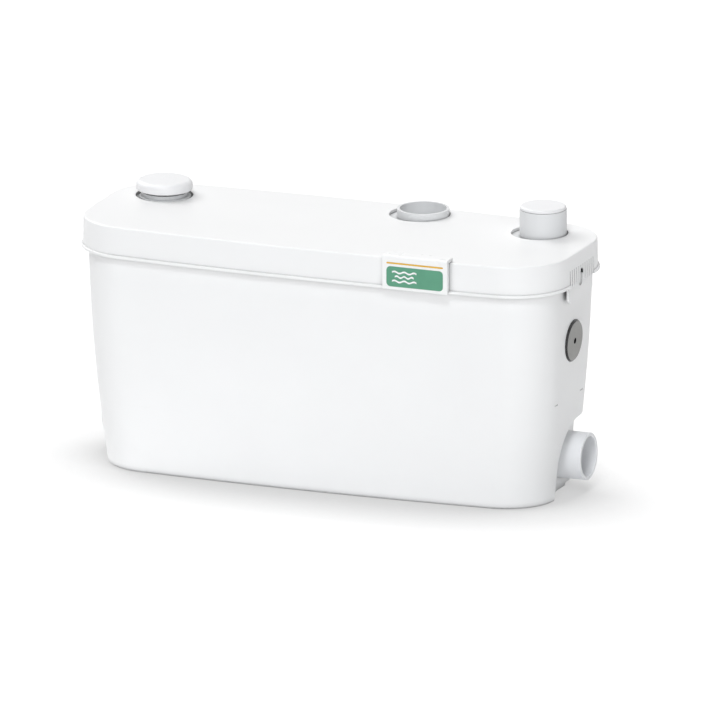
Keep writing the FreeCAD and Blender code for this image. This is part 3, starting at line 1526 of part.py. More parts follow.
make_tank()
make_deck()
make_deck_seal()
screw_group("deck_screws", deck_screw_spots(), deck_top, size.screw_head, 2.6, size.screw_shank,
            size.deck_height + size.seal_height + 6)
make_lid()
make_badge()
make_vent()
make_top_plug()
make_side_plug()
make_inlets()
make_motor()
screw_group("motor_screws", motor_screw_spots(), deck_top, size.screw_head, 2.6, size.screw_shank,
            size.deck_height + 3.9)
make_casing()
make_riser()
make_level_switch()
make_controls()
make_gland()
make_feet()
check_and_write()
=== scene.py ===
# %% [markdown]
# # A small waste-water lifting unit, dressed for its photograph
# The real object is a tank the size of a shoe box that stands behind a basin or a shower. Dirty water
# runs into it, a float switch starts the pump that hangs inside, and the pump lifts the water to a
# higher drain. Nearly all that is seen is white moulded plastic: a tapered tank, a shallow lid with a
# bead round its foot, a mushroom-shaped vent cap, an open outlet socket and two pipe spigots.
#
# The exact shapes come from a CAD model, which is loaded here as a fixed frame. This lesson adds what
# CAD doesn't hold: light, a camera, a finish for every surface, and the small pieces that are easier
# to model as meshes. Lengths are in metres, and +Z is up. The front of the unit looks along -Y.

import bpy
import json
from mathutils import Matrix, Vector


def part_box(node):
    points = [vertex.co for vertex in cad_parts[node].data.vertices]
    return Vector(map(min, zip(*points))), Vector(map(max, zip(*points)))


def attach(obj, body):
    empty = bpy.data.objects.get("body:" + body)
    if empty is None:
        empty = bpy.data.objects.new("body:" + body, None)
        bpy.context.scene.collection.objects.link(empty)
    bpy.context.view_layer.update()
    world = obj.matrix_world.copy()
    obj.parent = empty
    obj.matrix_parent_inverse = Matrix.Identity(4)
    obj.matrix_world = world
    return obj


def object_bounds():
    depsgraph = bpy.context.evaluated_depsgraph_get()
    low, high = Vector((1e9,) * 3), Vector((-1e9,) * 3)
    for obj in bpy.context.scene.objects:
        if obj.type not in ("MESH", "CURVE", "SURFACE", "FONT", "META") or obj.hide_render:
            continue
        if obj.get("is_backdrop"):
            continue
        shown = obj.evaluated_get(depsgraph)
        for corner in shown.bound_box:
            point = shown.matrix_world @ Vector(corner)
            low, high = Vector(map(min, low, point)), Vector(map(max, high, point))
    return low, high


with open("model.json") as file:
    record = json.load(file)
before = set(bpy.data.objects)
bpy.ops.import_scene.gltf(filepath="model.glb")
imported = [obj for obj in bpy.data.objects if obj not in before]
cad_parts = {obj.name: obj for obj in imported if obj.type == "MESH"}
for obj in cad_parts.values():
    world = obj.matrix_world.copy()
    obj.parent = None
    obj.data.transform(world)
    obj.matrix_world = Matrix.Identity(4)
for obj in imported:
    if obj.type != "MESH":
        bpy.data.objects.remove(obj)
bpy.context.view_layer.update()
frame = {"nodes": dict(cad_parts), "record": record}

# %% The other modules that this lesson uses
import json
import math

import bmesh
import bpy
from mathutils import Matrix, Vector

MM = 0.001
scene = bpy.context.scene
print("Blender", bpy.app.version_string)

# %% [markdown]
# ## The camera
# The product picture has no perspective that can be measured: edges that are parallel on the unit are
# parallel in the picture. An orthographic camera does that. Its three directions follow from the two
# angles that a photographer would name: how far round the unit, and how far above it. The rotation
# matrix is those three directions side by side, which saves working out Euler angles.

# %% Camera at the picture's angle
VIEW_ROUND = math.radians(21.83)
VIEW_ABOVE = math.radians(15.09)
PICTURE_WIDTH = 0.7107
AIM_RIGHT, AIM_UP = 0.01916, 0.11216
CAMERA_AWAY, CAMERA_REACH = 2, 20


def camera_directions(around, above):
    """The camera's right, its up and the way from the unit back to it."""
    right = Vector((math.cos(around), math.sin(around), 0))
    level = math.cos(above)
    back = Vector((math.sin(around) * level, -math.cos(around) * level, math.sin(above)))
    return right, back.cross(right), back


right, up, back = camera_directions(VIEW_ROUND, VIEW_ABOVE)
camera = bpy.data.objects.new("camera", bpy.data.cameras.new("camera"))
camera.data.type = "ORTHO"
camera.data.ortho_scale = PICTURE_WIDTH
camera.data.clip_end = CAMERA_REACH
turn = Matrix((right, up, back)).transposed().to_4x4()
stand = Matrix.Translation(right * AIM_RIGHT + up * AIM_UP + back * CAMERA_AWAY)
camera.matrix_world = stand @ turn
scene.collection.objects.link(camera)
scene.camera = camera
print("camera looks along", [round(-x, 3) for x in back])

# %% [markdown]
# ## Node graphs in plain words
# Every finish below is a Principled shader with a few patterns in front of it. Written node by node
# such graphs are long, so two small classes hold the shader and offer the steps that repeat. The first
# one makes patterns: clouds, cells, stripes, and how open a spot is. All of them read Object
# coordinates. The solids sit at the origin, so those are real metres on the unit, and a grain of
# 0.5 mm is 0.5 mm on every piece.

# %% A material and its patterns


class Patterns:
    def __init__(self, name, colour, roughness, metallic=0.0):
        self.material = bpy.data.materials.new(name)
        self.material.use_nodes = True
        self.nodes = self.material.node_tree.nodes
        self.links = self.material.node_tree.links
        self.shader = self.nodes["Principled BSDF"]
        self.set("Base Color", colour)
        self.set("Roughness", roughness)
        self.set("Metallic", metallic)
        self.place = self.nodes.new("ShaderNodeTexCoord").outputs["Object"]

    def set(self, socket, value):
        self.shader.inputs[socket].default_value = value

    def feed(self, socket, source):
        self.links.new(source, self.shader.inputs[socket])

    def stretched(self, scale):
        """The position on the unit, multiplied along each axis."""
        node = self.nodes.new("ShaderNodeMapping")
        node.inputs["Scale"].default_value = scale
        self.links.new(self.place, node.inputs["Vector"])
        return node.outputs["Vector"]

    def noise(self, size, detail=2.0, stretch=(1, 1, 1)):
        """A cloudy pattern whose lumps are about `size` metres across."""
        node = self.nodes.new("ShaderNodeTexNoise")
        node.inputs["Scale"].default_value = 1 / size
        node.inputs["Detail"].default_value = detail
        self.links.new(self.stretched(stretch), node.inputs["Vector"])
        return node.outputs["Fac"]

    def cells(self, size):
        """Distances to scattered points about `size` metres apart, as in a heap of grains."""
        node = self.nodes.new("ShaderNodeTexVoronoi")
        node.inputs["Scale"].default_value = 1 / size
        self.links.new(self.stretched((1, 1, 1)), node.inputs["Vector"])
        return node.outputs["Distance"]

    def bands(self, pitch, ripple=0.0):
        """Level stripes, `pitch` metres apart."""
        node = self.nodes.new("ShaderNodeTexWave")
        node.bands_direction = "Z"
        node.inputs["Scale"].default_value = math.tau / 20 / pitch
        node.inputs["Distortion"].default_value = ripple
        self.links.new(self.place, node.inputs["Vector"])
        return node.outputs["Fac"]

    def openness(self, reach, samples):
        """1 at a free spot, towards 0 where surfaces stand round it closer than `reach` metres."""
        node = self.nodes.new("ShaderNodeAmbientOcclusion")
        node.samples = samples
        node.inputs["Distance"].default_value = reach
        return node.outputs["AO"]


print("patterns:", [name for name in vars(Patterns) if name in ("noise", "cells", "bands", "openness")])

# %% [markdown]
# The second class turns a pattern into something a surface shows: a number that swings, a mix of two
# colours, painted shade in crevices, or a bump. It builds on the first, so a finish has both sets of
# steps.

# %% From pattern to finish


class Finish(Patterns):
    WALLED_IN, FREE = 0.1, 0.85

    def swing(self, pattern, low, high, start=0.3, end=0.7):
        """A number that moves between low and high as the pattern goes from start to end."""
        node = self.nodes.new("ShaderNodeMapRange")
        values = {"From Min": start, "From Max": end, "To Min": low, "To Max": high}
        for socket, value in values.items():
            node.inputs[socket].default_value = value
        self.links.new(pattern, node.inputs["Value"])
        return node.outputs["Result"]

    def blend(self, factor, first, second, way="MIX"):
        """Two colours, or a colour over another pattern's colour, mixed by a factor."""
        node = self.nodes.new("ShaderNodeMix")
        node.data_type = "RGBA"
        node.blend_type = way
        for socket, value in ((node.inputs[0], factor), (node.inputs[6], first), (node.inputs[7], second)):
            if isinstance(value, bpy.types.NodeSocket):
                self.links.new(value, socket)
            else:
                socket.default_value = value
        return node.outputs[2]

    def two_tone(self, pattern, first, second, start=0.3, end=0.7):
        """Lets the base colour drift from one tone to another with a pattern."""
        self.feed("Base Color", self.blend(self.swing(pattern, 0, 1, start, end), first, second))

    def crevices(self, colour, reach, share):
        """The colour with painted shade: darker where other surfaces stand closer than `reach` metres."""
        free = self.swing(self.openness(reach, 12), 0, 1, self.WALLED_IN, self.FREE)
        shaded = self.blend(1.0, colour, (share, share, share, 1.0), "MULTIPLY")
        return self.blend(free, shaded, colour)

    def bump(self, pattern, depth, below=None):
        """Dents and lumps `depth` metres high, laid over another bump if one is given."""
        node = self.nodes.new("ShaderNodeBump")
        node.inputs["Strength"].default_value = 1.0
        node.inputs["Distance"].default_value = depth
        self.links.new(pattern, node.inputs["Height"])
        if below is not None:
            self.links.new(below, node.inputs["Normal"])
        return node.outputs["Normal"]


print("a finish also has:", [name for name in vars(Finish) if name[0].islower()])

# %% [markdown]
# Colours are written as they look on a screen, from 0 to 255. A shader counts light, not screen
# levels, so each number goes through the curve that every screen uses.

# %% Colours


def tone(red, green, blue):
    """A screen colour as the linear values that a shader wants."""
    def linear(level):
        share = level / 255
        return share / 12.92 if share <= 0.04045 else ((share + 0.055) / 1.055) ** 2.4
    return linear(red), linear(green), linear(blue), 1.0


def darker(colour, share):
    return tuple(level * share for level in colour[:3]) + (1.0,)


finishes = {}
print("screen grey 128 is", round(tone(128, 128, 128)[0], 3), "as light")

# %% [markdown]
# ## Moulded plastics
# The shell is injection-moulded ABS: a smooth satin white with a faint orange peel where the melt
# froze against the steel of the mould. A flat white would look like paper, so the colour drifts by
# about one percent over the length of a hand, the roughness drifts with it, and two bumps are laid
# over each other: a wide one for the orange peel and a very fine one for the grain. Grooves and
# joints also get painted shade: an Ambient Occlusion node measures how closely a point is walled in,
# and darkens the colour there, so a 1.5 mm groove still reads as a line from far away.
# The deck and the spigots look no further than 3 mm, because their low necks would turn grey all over.
# The same recipe, with other numbers, serves the other plastics.

# %% Smooth and grained plastics
CREVICE_SHADE_REACH, NECK_SHADE_REACH = 0.009, 0.003
CREVICE_SHADE_SHARE = 0.4


def moulded(slot, colour, roughness, grain=0.000004, drift=0.985, reach=CREVICE_SHADE_REACH):
    finish = Finish(slot, colour, roughness)
    cloud = finish.noise(0.09, 3)
    drifting = finish.blend(finish.swing(cloud, 0, 1), colour, darker(colour, drift))
    # Painted shade: the colour darkens in grooves, in joints and under overhangs.
    finish.feed("Base Color", finish.crevices(drifting, reach, CREVICE_SHADE_SHARE))
    finish.feed("Roughness", finish.swing(finish.noise(0.02), roughness * 0.9, roughness * 1.12))
    orange_peel = finish.bump(finish.noise(0.006), 0.000012)
    finish.feed("Normal", finish.bump(finish.noise(0.0005), grain, orange_peel))
    finishes[slot] = finish.material
    return finish


moulded("shell_white", tone(246, 246, 246), 0.34)
deck = moulded("deck_white", tone(229, 230, 231), 0.46, grain=0.00001, reach=NECK_SHADE_REACH)
moulded("cap_white", tone(242, 242, 243), 0.36)
moulded("badge_white", tone(248, 248, 248), 0.28)
moulded("spigot_white", tone(240, 241, 243), 0.38, reach=NECK_SHADE_REACH)
moulded("plug_grey", tone(150, 149, 146), 0.42, drift=0.95)
moulded("inner_grey", tone(176, 178, 181), 0.5, grain=0.00001)
moulded("switch_black", tone(42, 42, 44), 0.45)
moulded("terminal_green", tone(58, 132, 92), 0.42)
moulded("gland_grey", tone(198, 199, 200), 0.46, grain=0.000012)
print("moulded finishes:", sorted(finishes))

# %% [markdown]
# The lid has a hole round each neck, and the deck shows in the gap as a dim crescent. So below the lid's
# top the deck gets a second, wider painted crevice shade in its colour. It is mixed in by height, which is
# the Z of the Object coordinates. With the lid lifted off the gap is open, and the painted shade goes by
# itself.

# %% Painted shade on the deck in the gaps round its necks
GAP_EDGE, GAP_DEEP = 0.3 * MM, 1.2 * MM
GAP_SHADE_REACH, GAP_SHADE_SHARE = 0.012, 0.45
lid_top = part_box("lid")[1].z
split = deck.nodes.new("ShaderNodeSeparateXYZ")
deck.links.new(deck.place, split.inputs[0])
sunk = deck.swing(split.outputs["Z"], 1, 0, lid_top - GAP_DEEP, lid_top - GAP_EDGE)
open_colour = deck.shader.inputs["Base Color"].links[0].from_socket
# Painted shade: the deck's colour darkens where the lid's hole walls it in.
painted_gap_shade = deck.crevices(open_colour, GAP_SHADE_REACH, GAP_SHADE_SHARE)
deck.feed("Base Color", deck.blend(sunk, open_colour, painted_gap_shade))
print("the lid's top is at", round(lid_top / MM, 1), "mm")

# %% [markdown]
# ## Rubber
# Gaskets, the hose and the flaps are black rubber, the feet a dark grey one. Rubber isn't evenly
# black: a dusty bloom comes out in patches, which lightens the colour and takes off the shine at the
# same spots, so one noise drives both.

# %% Rubbers


def rubber(slot, colour, bloom):
    finish = Finish(slot, colour, 0.6)
    patches = finish.noise(0.012, 4)
    finish.two_tone(patches, colour, bloom, 0.4, 0.75)
    finish.feed("Roughness", finish.swing(patches, 0.5, 0.8))
    finish.feed("Normal", finish.bump(finish.noise(0.0007, 3), 0.00002))
    finishes[slot] = finish.material


rubber("rubber_black", tone(38, 38, 39), tone(62, 62, 61))
rubber("rubber_grey", tone(96, 96, 97), tone(118, 118, 117))
print("finishes with the rubbers:", len(finishes))

# %% [markdown]
# ## Metals
# Steel and bearing steel share one recipe: long thin scratches. A noise that is squeezed along one
# axis makes streaks, and the streaks move the roughness and a very shallow bump. The motor's can is
# cast, so its aluminium gets pebbles in place of streaks.

# %% Steel and cast aluminium


def brushed(slot, colour, roughness, streak):
    finish = Finish(slot, colour, roughness, metallic=1.0)
    lines = finish.noise(0.02, 4, streak)
    finish.two_tone(lines, colour, darker(colour, 0.86))
    finish.feed("Roughness", finish.swing(lines, roughness * 0.75, roughness * 1.3))
    finish.feed("Normal", finish.bump(lines, 0.000004))
    finishes[slot] = finish.material


brushed("steel", tone(198, 199, 200), 0.3, (1, 1, 30))
brushed("bearing_steel", tone(212, 213, 214), 0.16, (1, 1, 60))

cast = Finish("aluminium", tone(188, 190, 192), 0.42, metallic=1.0)
pebbles = cast.noise(0.0018, 4)
cast.two_tone(cast.noise(0.03), tone(190, 192, 194), tone(172, 174, 177))
cast.feed("Roughness", cast.swing(pebbles, 0.36, 0.55))
cast.feed("Normal", cast.bump(pebbles, 0.00006))
finishes["aluminium"] = cast.material
print("finishes with steel and aluminium:", len(finishes))

# %% [markdown]
# The stator is a stack of thin sheets, and the windings are wire laid beside wire. Both are stripes:
# straight ones half a millimetre apart for the sheets, and wavy ones for the hand of the winder.

# %% Sheets and windings
laminated = Finish("stator_steel", tone(120, 122, 126), 0.4, metallic=1.0)
sheets = laminated.bands(0.0005)
laminated.feed("Base Color", laminated.blend(sheets, tone(92, 94, 98), tone(150, 152, 156)))
laminated.feed("Roughness", laminated.swing(laminated.noise(0.004, 3), 0.35, 0.55))
laminated.feed("Normal", laminated.bump(sheets, 0.00003))
finishes["stator_steel"] = laminated.material

wound = Finish("copper", tone(190, 96, 52), 0.32, metallic=0.85)
wires = wound.bands(0.0008, ripple=1.5)
wound.feed("Base Color", wound.blend(wires, tone(130, 58, 28), tone(206, 118, 66)))
wound.feed("Roughness", wound.swing(wound.noise(0.005, 3), 0.25, 0.45))
wound.feed("Normal", wound.bump(wires, 0.0002))
finishes["copper"] = wound.material
print("finishes with sheets and windings:", len(finishes))

# %% [markdown]
# ## The few odd materials inside
# Seal rings are a pale ceramic against a black carbon. The filter under the vent cap is a block of
# bonded carbon grains, so it has cells with dark gaps between them.

# %% Ceramic, carbon and filter
ceramic = Finish("ceramic", tone(232, 228, 218), 0.22)
ceramic.two_tone(ceramic.noise(0.004, 3), tone(236, 232, 223), tone(220, 214, 202))
ceramic.feed("Normal", ceramic.bump(ceramic.noise(0.0004), 0.000004))
finishes["ceramic"] = ceramic.material

carbon = Finish("carbon", tone(40, 40, 42), 0.35)
carbon.two_tone(carbon.noise(0.0012, 4), tone(34, 34, 36), tone(66, 66, 69))
carbon.feed("Roughness", carbon.swing(carbon.noise(0.003), 0.25, 0.45))
finishes["carbon"] = carbon.material

grains = Finish("filter_black", tone(34, 34, 35), 0.85)
gaps = grains.cells(0.0016)
grains.two_tone(gaps, tone(60, 60, 61), tone(14, 14, 15), 0.1, 0.6)
grains.feed("Normal", grains.bump(grains.swing(gaps, 1, 0, 0.0, 0.7), 0.0006))
finishes["filter_black"] = grains.material
print("finishes with ceramic, carbon and filter:", len(finishes))

# %% [markdown]
# The circuit board shows copper tracks under its green lacquer: a brick pattern gives straight runs
# with right-angled ends, and its mortar is the track. The capacitor's sleeve is rolled metal with
# soft bands of shine.

# %% Board and capacitor
board = Finish("board_green", tone(28, 96, 58), 0.35)
tracks = board.nodes.new("ShaderNodeTexBrick")
tracks.inputs["Scale"].default_value = 90
tracks.inputs["Mortar Size"].default_value = 0.06
tracks.inputs["Color1"].default_value = tone(26, 92, 54)
tracks.inputs["Color2"].default_value = tone(30, 104, 62)
tracks.inputs["Mortar"].default_value = tone(62, 142, 84)
board.links.new(board.place, tracks.inputs["Vector"])
board.feed("Base Color", tracks.outputs["Color"])
board.feed("Normal", board.bump(tracks.outputs["Fac"], 0.00003))
finishes["board_green"] = board.material

sleeve = Finish("capacitor_silver", tone(186, 188, 190), 0.3, metallic=0.9)
sleeve.two_tone(sleeve.noise(0.03, 2, (1, 1, 8)), tone(190, 192, 194), tone(168, 170, 173))
sleeve.feed("Roughness", sleeve.swing(sleeve.noise(0.006, 3), 0.24, 0.4))
finishes["capacitor_silver"] = sleeve.material
print("finishes in all:", len(finishes))

# %% [markdown]
# ## Dress the solids
# The record that came with the model says which material slot each solid belongs to. The finishes
# carry the same names, so dressing the whole unit is one loop.

# %% Give every solid its finish
for part in frame["record"]["subparts"]:
    solid = frame["nodes"][part["node"]]
    solid.data.materials.clear()
    solid.data.materials.append(finishes[part["material_slot"]])

# %% [markdown]
# ## Plates that lie on a surface
# The clip-on plate, the screws and the lid's ends carry small flat shapes. Each is an outline with a
# little height, so one helper makes them all: it draws the outline twice, closes the sides and both
# faces, and rounds the rim with a bevel. A rim that is rounded, even by a tenth of a millimetre,
# catches a line of light, which is how the eye knows that a shape is a piece of its own.

# %% Pieces that ride on a body


def new_piece(name, form, finish, body):
    """Turns a bmesh into an object that rides on a body."""
    bmesh.ops.recalc_face_normals(form, faces=form.faces)
    mesh = bpy.data.meshes.new(name)
    form.to_mesh(mesh)
    form.free()
    mesh.materials.append(finish)
    piece = bpy.data.objects.new(name, mesh)
    scene.collection.objects.link(piece)
    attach(piece, body)
    print(name, "has", len(mesh.polygons), "faces and rides on", body)


# %% A raised plate from an outline
ACROSS, INWARDS, UPWARDS = Vector((1, 0, 0)), Vector((0, 1, 0)), Vector((0, 0, 1))


def raise_plate(form, outline, origin, across, upwards, height, rim=0.0):
    """Adds a plate to a bmesh. It starts at `origin` and stands out along across x upwards."""
    out = across.cross(upwards)

    def ring(level):
        return [form.verts.new(origin + across * x + upwards * y + out * level) for x, y in outline]

    foot, top = ring(0), ring(height)
    form.faces.new(foot)
    form.faces.new(list(reversed(top)))
    for k in range(len(outline)):
        n = (k + 1) % len(outline)
        form.faces.new((foot[k], foot[n], top[n], top[k]))
    if rim:
        edges = [edge for edge in form.edges if edge.verts[0] in top and edge.verts[1] in top]
        bmesh.ops.bevel(form, geom=edges, offset=rim, segments=2, profile=0.5, affect="EDGES")


def rounded_outline(width, height, radius, steps=6):
    """A rectangle round (0, 0) with round corners."""
    outline = []
    for way_x, way_y, first in ((1, 1, 0), (-1, 1, 90), (-1, -1, 180), (1, -1, 270)):
        for step in range(steps + 1):
            angle = math.radians(first + 90 * step / steps)
            outline.append((way_x * (width / 2 - radius) + radius * math.cos(angle),
                            way_y * (height / 2 - radius) + radius * math.sin(angle)))
    return outline


print("a rounded outline has", len(rounded_outline(0.06, 0.02, 0.004)), "points")

# %% [markdown]
# ## The clip-on plate
# The white plate over the lid's front edge is where such a unit says what it is. Here it stays without
# words: a green panel with round corners, three white ripples for the water, and a thin yellow line
# over it. Printed film is thin, so the panel stands 0.25 mm proud, and its finish is smoother and
# stronger in colour than the moulded plate under it.

# %% Printed films


def film(name, colour, roughness):
    finish = Finish(name, colour, roughness)
    finish.two_tone(finish.noise(0.015, 3), colour, darker(colour, 0.94))
    finish.feed("Roughness", finish.swing(finish.noise(0.004), roughness * 0.85, roughness * 1.2))
    finish.feed("Normal", finish.bump(finish.noise(0.0005), 0.000003))
    return finish.material


green_film = film("green_film", tone(92, 158, 128), 0.34)
yellow_film = film("yellow_film", tone(228, 178, 45), 0.34)
white_film = film("white_film", tone(250, 250, 250), 0.3)
print("films:", green_film.name, yellow_film.name, white_film.name)

# %% Panel on the plate
FILM_SUNK, FILM_PROUD = 0.3 * MM, 0.25 * MM
PANEL_WIDTH, PANEL_HEIGHT, PANEL_ROUND = 60 * MM, 20.4 * MM, 4 * MM
PANEL_ABOVE_FOOT = 13.2 * MM
plate_low, plate_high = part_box("badge")
panel_middle = Vector(((plate_low.x + plate_high.x) / 2,
                       plate_low.y + FILM_SUNK,
                       plate_low.z + PANEL_ABOVE_FOOT))
form = bmesh.new()
raise_plate(form, rounded_outline(PANEL_WIDTH, PANEL_HEIGHT, PANEL_ROUND), panel_middle,
            ACROSS, UPWARDS, FILM_SUNK + FILM_PROUD, 0.12 * MM)
new_piece("badge_panel", form, green_film, "lid_unit")
print("plate is", [round(x / MM, 1) for x in plate_high - plate_low], "mm")

# %% Ripples on the panel
RIPPLE_SWELL, RIPPLE_THICK, RIPPLE_PROUD = 0.9 * MM, 1.7 * MM, 0.15 * MM
ROW_PITCH, ROWS_LEFT = 4.6 * MM, 11 * MM


def ripple(length, waves=2.5, steps=36):
    """A wavy ribbon along its first axis, as an outline."""
    middle = []
    for k in range(steps + 1):
        swell = RIPPLE_SWELL * math.sin(math.tau * waves * k / steps)
        middle.append((length * (k / steps - 0.5), swell))
    lower = [(x, y - RIPPLE_THICK / 2) for x, y in middle]
    upper = [(x, y + RIPPLE_THICK / 2) for x, y in reversed(middle)]
    return lower + upper


form = bmesh.new()
for row, length in ((1, 26 * MM), (0, 20 * MM), (-1, 26 * MM)):
    start = panel_middle + UPWARDS * row * ROW_PITCH - ACROSS * ROWS_LEFT
    raise_plate(form, ripple(length), start, ACROSS, UPWARDS,
                FILM_SUNK + FILM_PROUD + RIPPLE_PROUD, 0.08 * MM)
new_piece("badge_ripples", form, white_film, "lid_unit")

# %% Line over the panel
LINE_THICK, LINE_ROUND, LINE_ABOVE_PANEL = 1.5 * MM, 0.7 * MM, 3.4 * MM
line_middle = panel_middle + UPWARDS * (PANEL_HEIGHT / 2 + LINE_ABOVE_PANEL)
form = bmesh.new()
raise_plate(form, rounded_outline(PANEL_WIDTH, LINE_THICK, LINE_ROUND), line_middle,
            ACROSS, UPWARDS, FILM_SUNK + FILM_PROUD, 0.1 * MM)
new_piece("badge_line", form, yellow_film, "lid_unit")

# %% [markdown]
# ## The side plug
# The round plug in the end is matt grey with a glossy slanted rim and a small dimple in its middle. The
# rim and the dimple are coloured near-black: a painted dark reflection on the rim, painted shade in the
# dimple. Seen from the front, the rim shows as a dark crescent, so the face stands a little prouder here
# than in the CAD model. All three pieces are profiles turned round the plug's axis, which leans with the
# tank's wall. The face is looked up in the plug's own mesh: it is the highest level along that axis.

# %% Where the side plug's face is
PLUG_LEAN = math.radians(3.4)
PLUG_AXIS = Vector((math.cos(PLUG_LEAN), 0, -math.sin(PLUG_LEAN)))
PLUG_UP = Vector((math.sin(PLUG_LEAN), 0, math.cos(PLUG_LEAN)))
FACE_LIFT, HEAD_DEPTH = 1.2 * MM, 3 * MM
plug = frame["nodes"]["side_plug"]
plug_low, plug_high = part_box("side_plug")
plug_radius = (plug_high.y - plug_low.y) / 2
corners = [plug.matrix_world @ vert.co for vert in plug.data.vertices]
face_level = max(corner.dot(PLUG_AXIS) for corner in corners)
head = [corner for corner in corners if corner.dot(PLUG_AXIS) > face_level - HEAD_DEPTH]
heights = [corner.dot(PLUG_UP) for corner in head]
plug_face = PLUG_AXIS * (face_level + FACE_LIFT) + PLUG_UP * (min(heights) + max(heights)) / 2
print("plug radius", round(plug_radius / MM, 2), "mm")

# %% A ring from a profile


def turn_ring(form, profile, steps=96):
    """Adds a closed profile of (radius, height) points, turned round the plug's axis."""
    sideways = PLUG_AXIS.cross(PLUG_UP)
    rings = []
    for k in range(steps):
        angle = math.tau * k / steps
        out = PLUG_UP * math.cos(angle) + sideways * math.sin(angle)
        rings.append([form.verts.new(plug_face + out * radius + PLUG_AXIS * height)
                      for radius, height in profile])
    for k in range(steps):
        first, second = rings[k], rings[(k + 1) % steps]
        for n in range(len(profile)):
            m = (n + 1) % len(profile)
            form.faces.new((first[n], first[m], second[m], second[n]))


print("rings are turned round", [round(x, 3) for x in PLUG_AXIS])

# %% Rim and dimple
RIM_SLANT, RIM_DEPTH, SKIN, DIMPLE = 1.3 * MM, 1.3 * MM, 0.1 * MM, 3 * MM
face_radius = plug_radius - RIM_SLANT
rim_foot = -RIM_DEPTH - FACE_LIFT - 0.5 * MM
rim_profile = [(face_radius + SKIN, -SKIN), (plug_radius + SKIN, -RIM_DEPTH),
               (plug_radius + SKIN, rim_foot), (plug_radius - RIM_SLANT * 0.6, rim_foot),
               (face_radius - SKIN, -0.4 * MM)]
dimple_mm = [(3.1, 0.02), (2.85, -0.2), (2.85, -3.8), (0.05, -4.1), (0.05, -4.3), (3.1, -4.3)]
# Near-black colour: painted dark reflection on the rim and painted shade in the dimple.
rim_painted_dark = Finish("plug_painted_reflection_and_shade", tone(34, 34, 35), 0.12)
rim_painted_dark.feed("Roughness", rim_painted_dark.swing(rim_painted_dark.noise(0.006, 3), 0.07, 0.22))
rim_painted_dark.feed("Normal", rim_painted_dark.bump(rim_painted_dark.noise(0.002), 0.000015))
form = bmesh.new()
turn_ring(form, rim_profile)
turn_ring(form, [(radius * MM, height * MM) for radius, height in dimple_mm], 48)
new_piece("side_plug_rim", form, rim_painted_dark.material, "side_plug_unit")

# %% Face
face_foot = -FACE_LIFT - 0.2 * MM
form = bmesh.new()
turn_ring(form, [(DIMPLE, 0), (face_radius, 0), (face_radius, face_foot), (DIMPLE, face_foot)])
new_piece("side_plug_face", form, finishes["plug_grey"], "side_plug_unit")

# %% [markdown]
# ## Grooves and slot at the lid's ends
# The tongue at each end of the lid is grooved for the fingers. A groove of 1.5 mm is one pixel wide in
# the picture, and what makes it show is the shade on its floor, so each floor gets a thin grey strip of
# painted shade. The finger slot takes the place of the two middle grooves. It has a small hole at its top
# with nothing but dark behind it, and its round upper end lies in deep shade. A black disc in the
# hole and thin black sheets along that end are painted shade for both.

# %% Strips in the grooves
GROOVES, GROOVE_PITCH, TONGUE_Y = 12, 5.5 * MM, 1 * MM
GROOVE_FLOOR, GROOVE_Z = 254.6 * MM, 231.3 * MM
strip = rounded_outline(1.3 * MM, 16.4 * MM, 0.4 * MM, 2)
# Painted shade: a grey strip on the floor of each groove.
groove_shade = film("groove_shade", tone(196, 197, 200), 0.7)
form = bmesh.new()
for side in (1, -1):
    for k in range(GROOVES):
        from_slot = GROOVE_PITCH * (k - (GROOVES - 1) / 2)
        if abs(from_slot) < GROOVE_PITCH:
            continue
        start = Vector((side * (GROOVE_FLOOR - 0.1 * MM), TONGUE_Y + from_slot, GROOVE_Z))
        raise_plate(form, strip, start, INWARDS * side, UPWARDS, 0.22 * MM)
new_piece("groove_strips", form, groove_shade, "lid_unit")

# %% Painted shade in the hole and upper end of the finger slot
SLOT_ROUND, SLOT_ROUND_Z, SLOT_FLOOR = 5.49 * MM, 230.51 * MM, 253.1 * MM
SHADE_SHEET_THICK, SHADE_SHEET_HEIGHT = 0.25 * MM, 2.1 * MM
SHADE_SHEET_FROM, SHADE_SHEET_TURN, SHADE_SHEET_STEPS = -8, 83, 20
HOLE_RADIUS, HOLE_Z, HOLE_SUNK = 3.35 * MM, 231.6 * MM, 0.6 * MM


def arc(radius, first, turned, steps):
    """Points on a circle round (0, 0), from one angle on. Angles are in degrees."""
    angles = [math.radians(first + turned * k / steps) for k in range(steps + 1)]
    return [(radius * math.cos(angle), radius * math.sin(angle)) for angle in angles]


shade_sheet = arc(SLOT_ROUND, SHADE_SHEET_FROM, SHADE_SHEET_TURN, SHADE_SHEET_STEPS)
shade_sheet += reversed(arc(SLOT_ROUND - SHADE_SHEET_THICK, SHADE_SHEET_FROM, SHADE_SHEET_TURN, SHADE_SHEET_STEPS))
disc = arc(HOLE_RADIUS, 0, 360, 32)[:-1]
# The black disc and sheets are painted shade, in the black of the switch finish.
form = bmesh.new()
for side in (1, -1):
    for way in (1, -1):
        start = Vector((side * SLOT_FLOOR, TONGUE_Y, SLOT_ROUND_Z))
        outline = [(way * x, y) for x, y in shade_sheet]
        raise_plate(form, outline, start, INWARDS * side, UPWARDS, SHADE_SHEET_HEIGHT)
    start = Vector((side * (SLOT_FLOOR - HOLE_SUNK), TONGUE_Y, HOLE_Z))
    raise_plate(form, disc, start, INWARDS * side, UPWARDS, 0.7 * MM)
new_piece("slot_painted_shade", form, finishes["switch_black"], "lid_unit")

# %% [markdown]
# ## Crosses in the screws
# Under the lid, every screw has a cross recess, and the shade in it is painted as a thin black cross. All
# the screws are one solid in the CAD model, so they are found by splitting its mesh into loose islands,
# and the crosses sit right wherever the model puts the screws.

# %% Find the screws


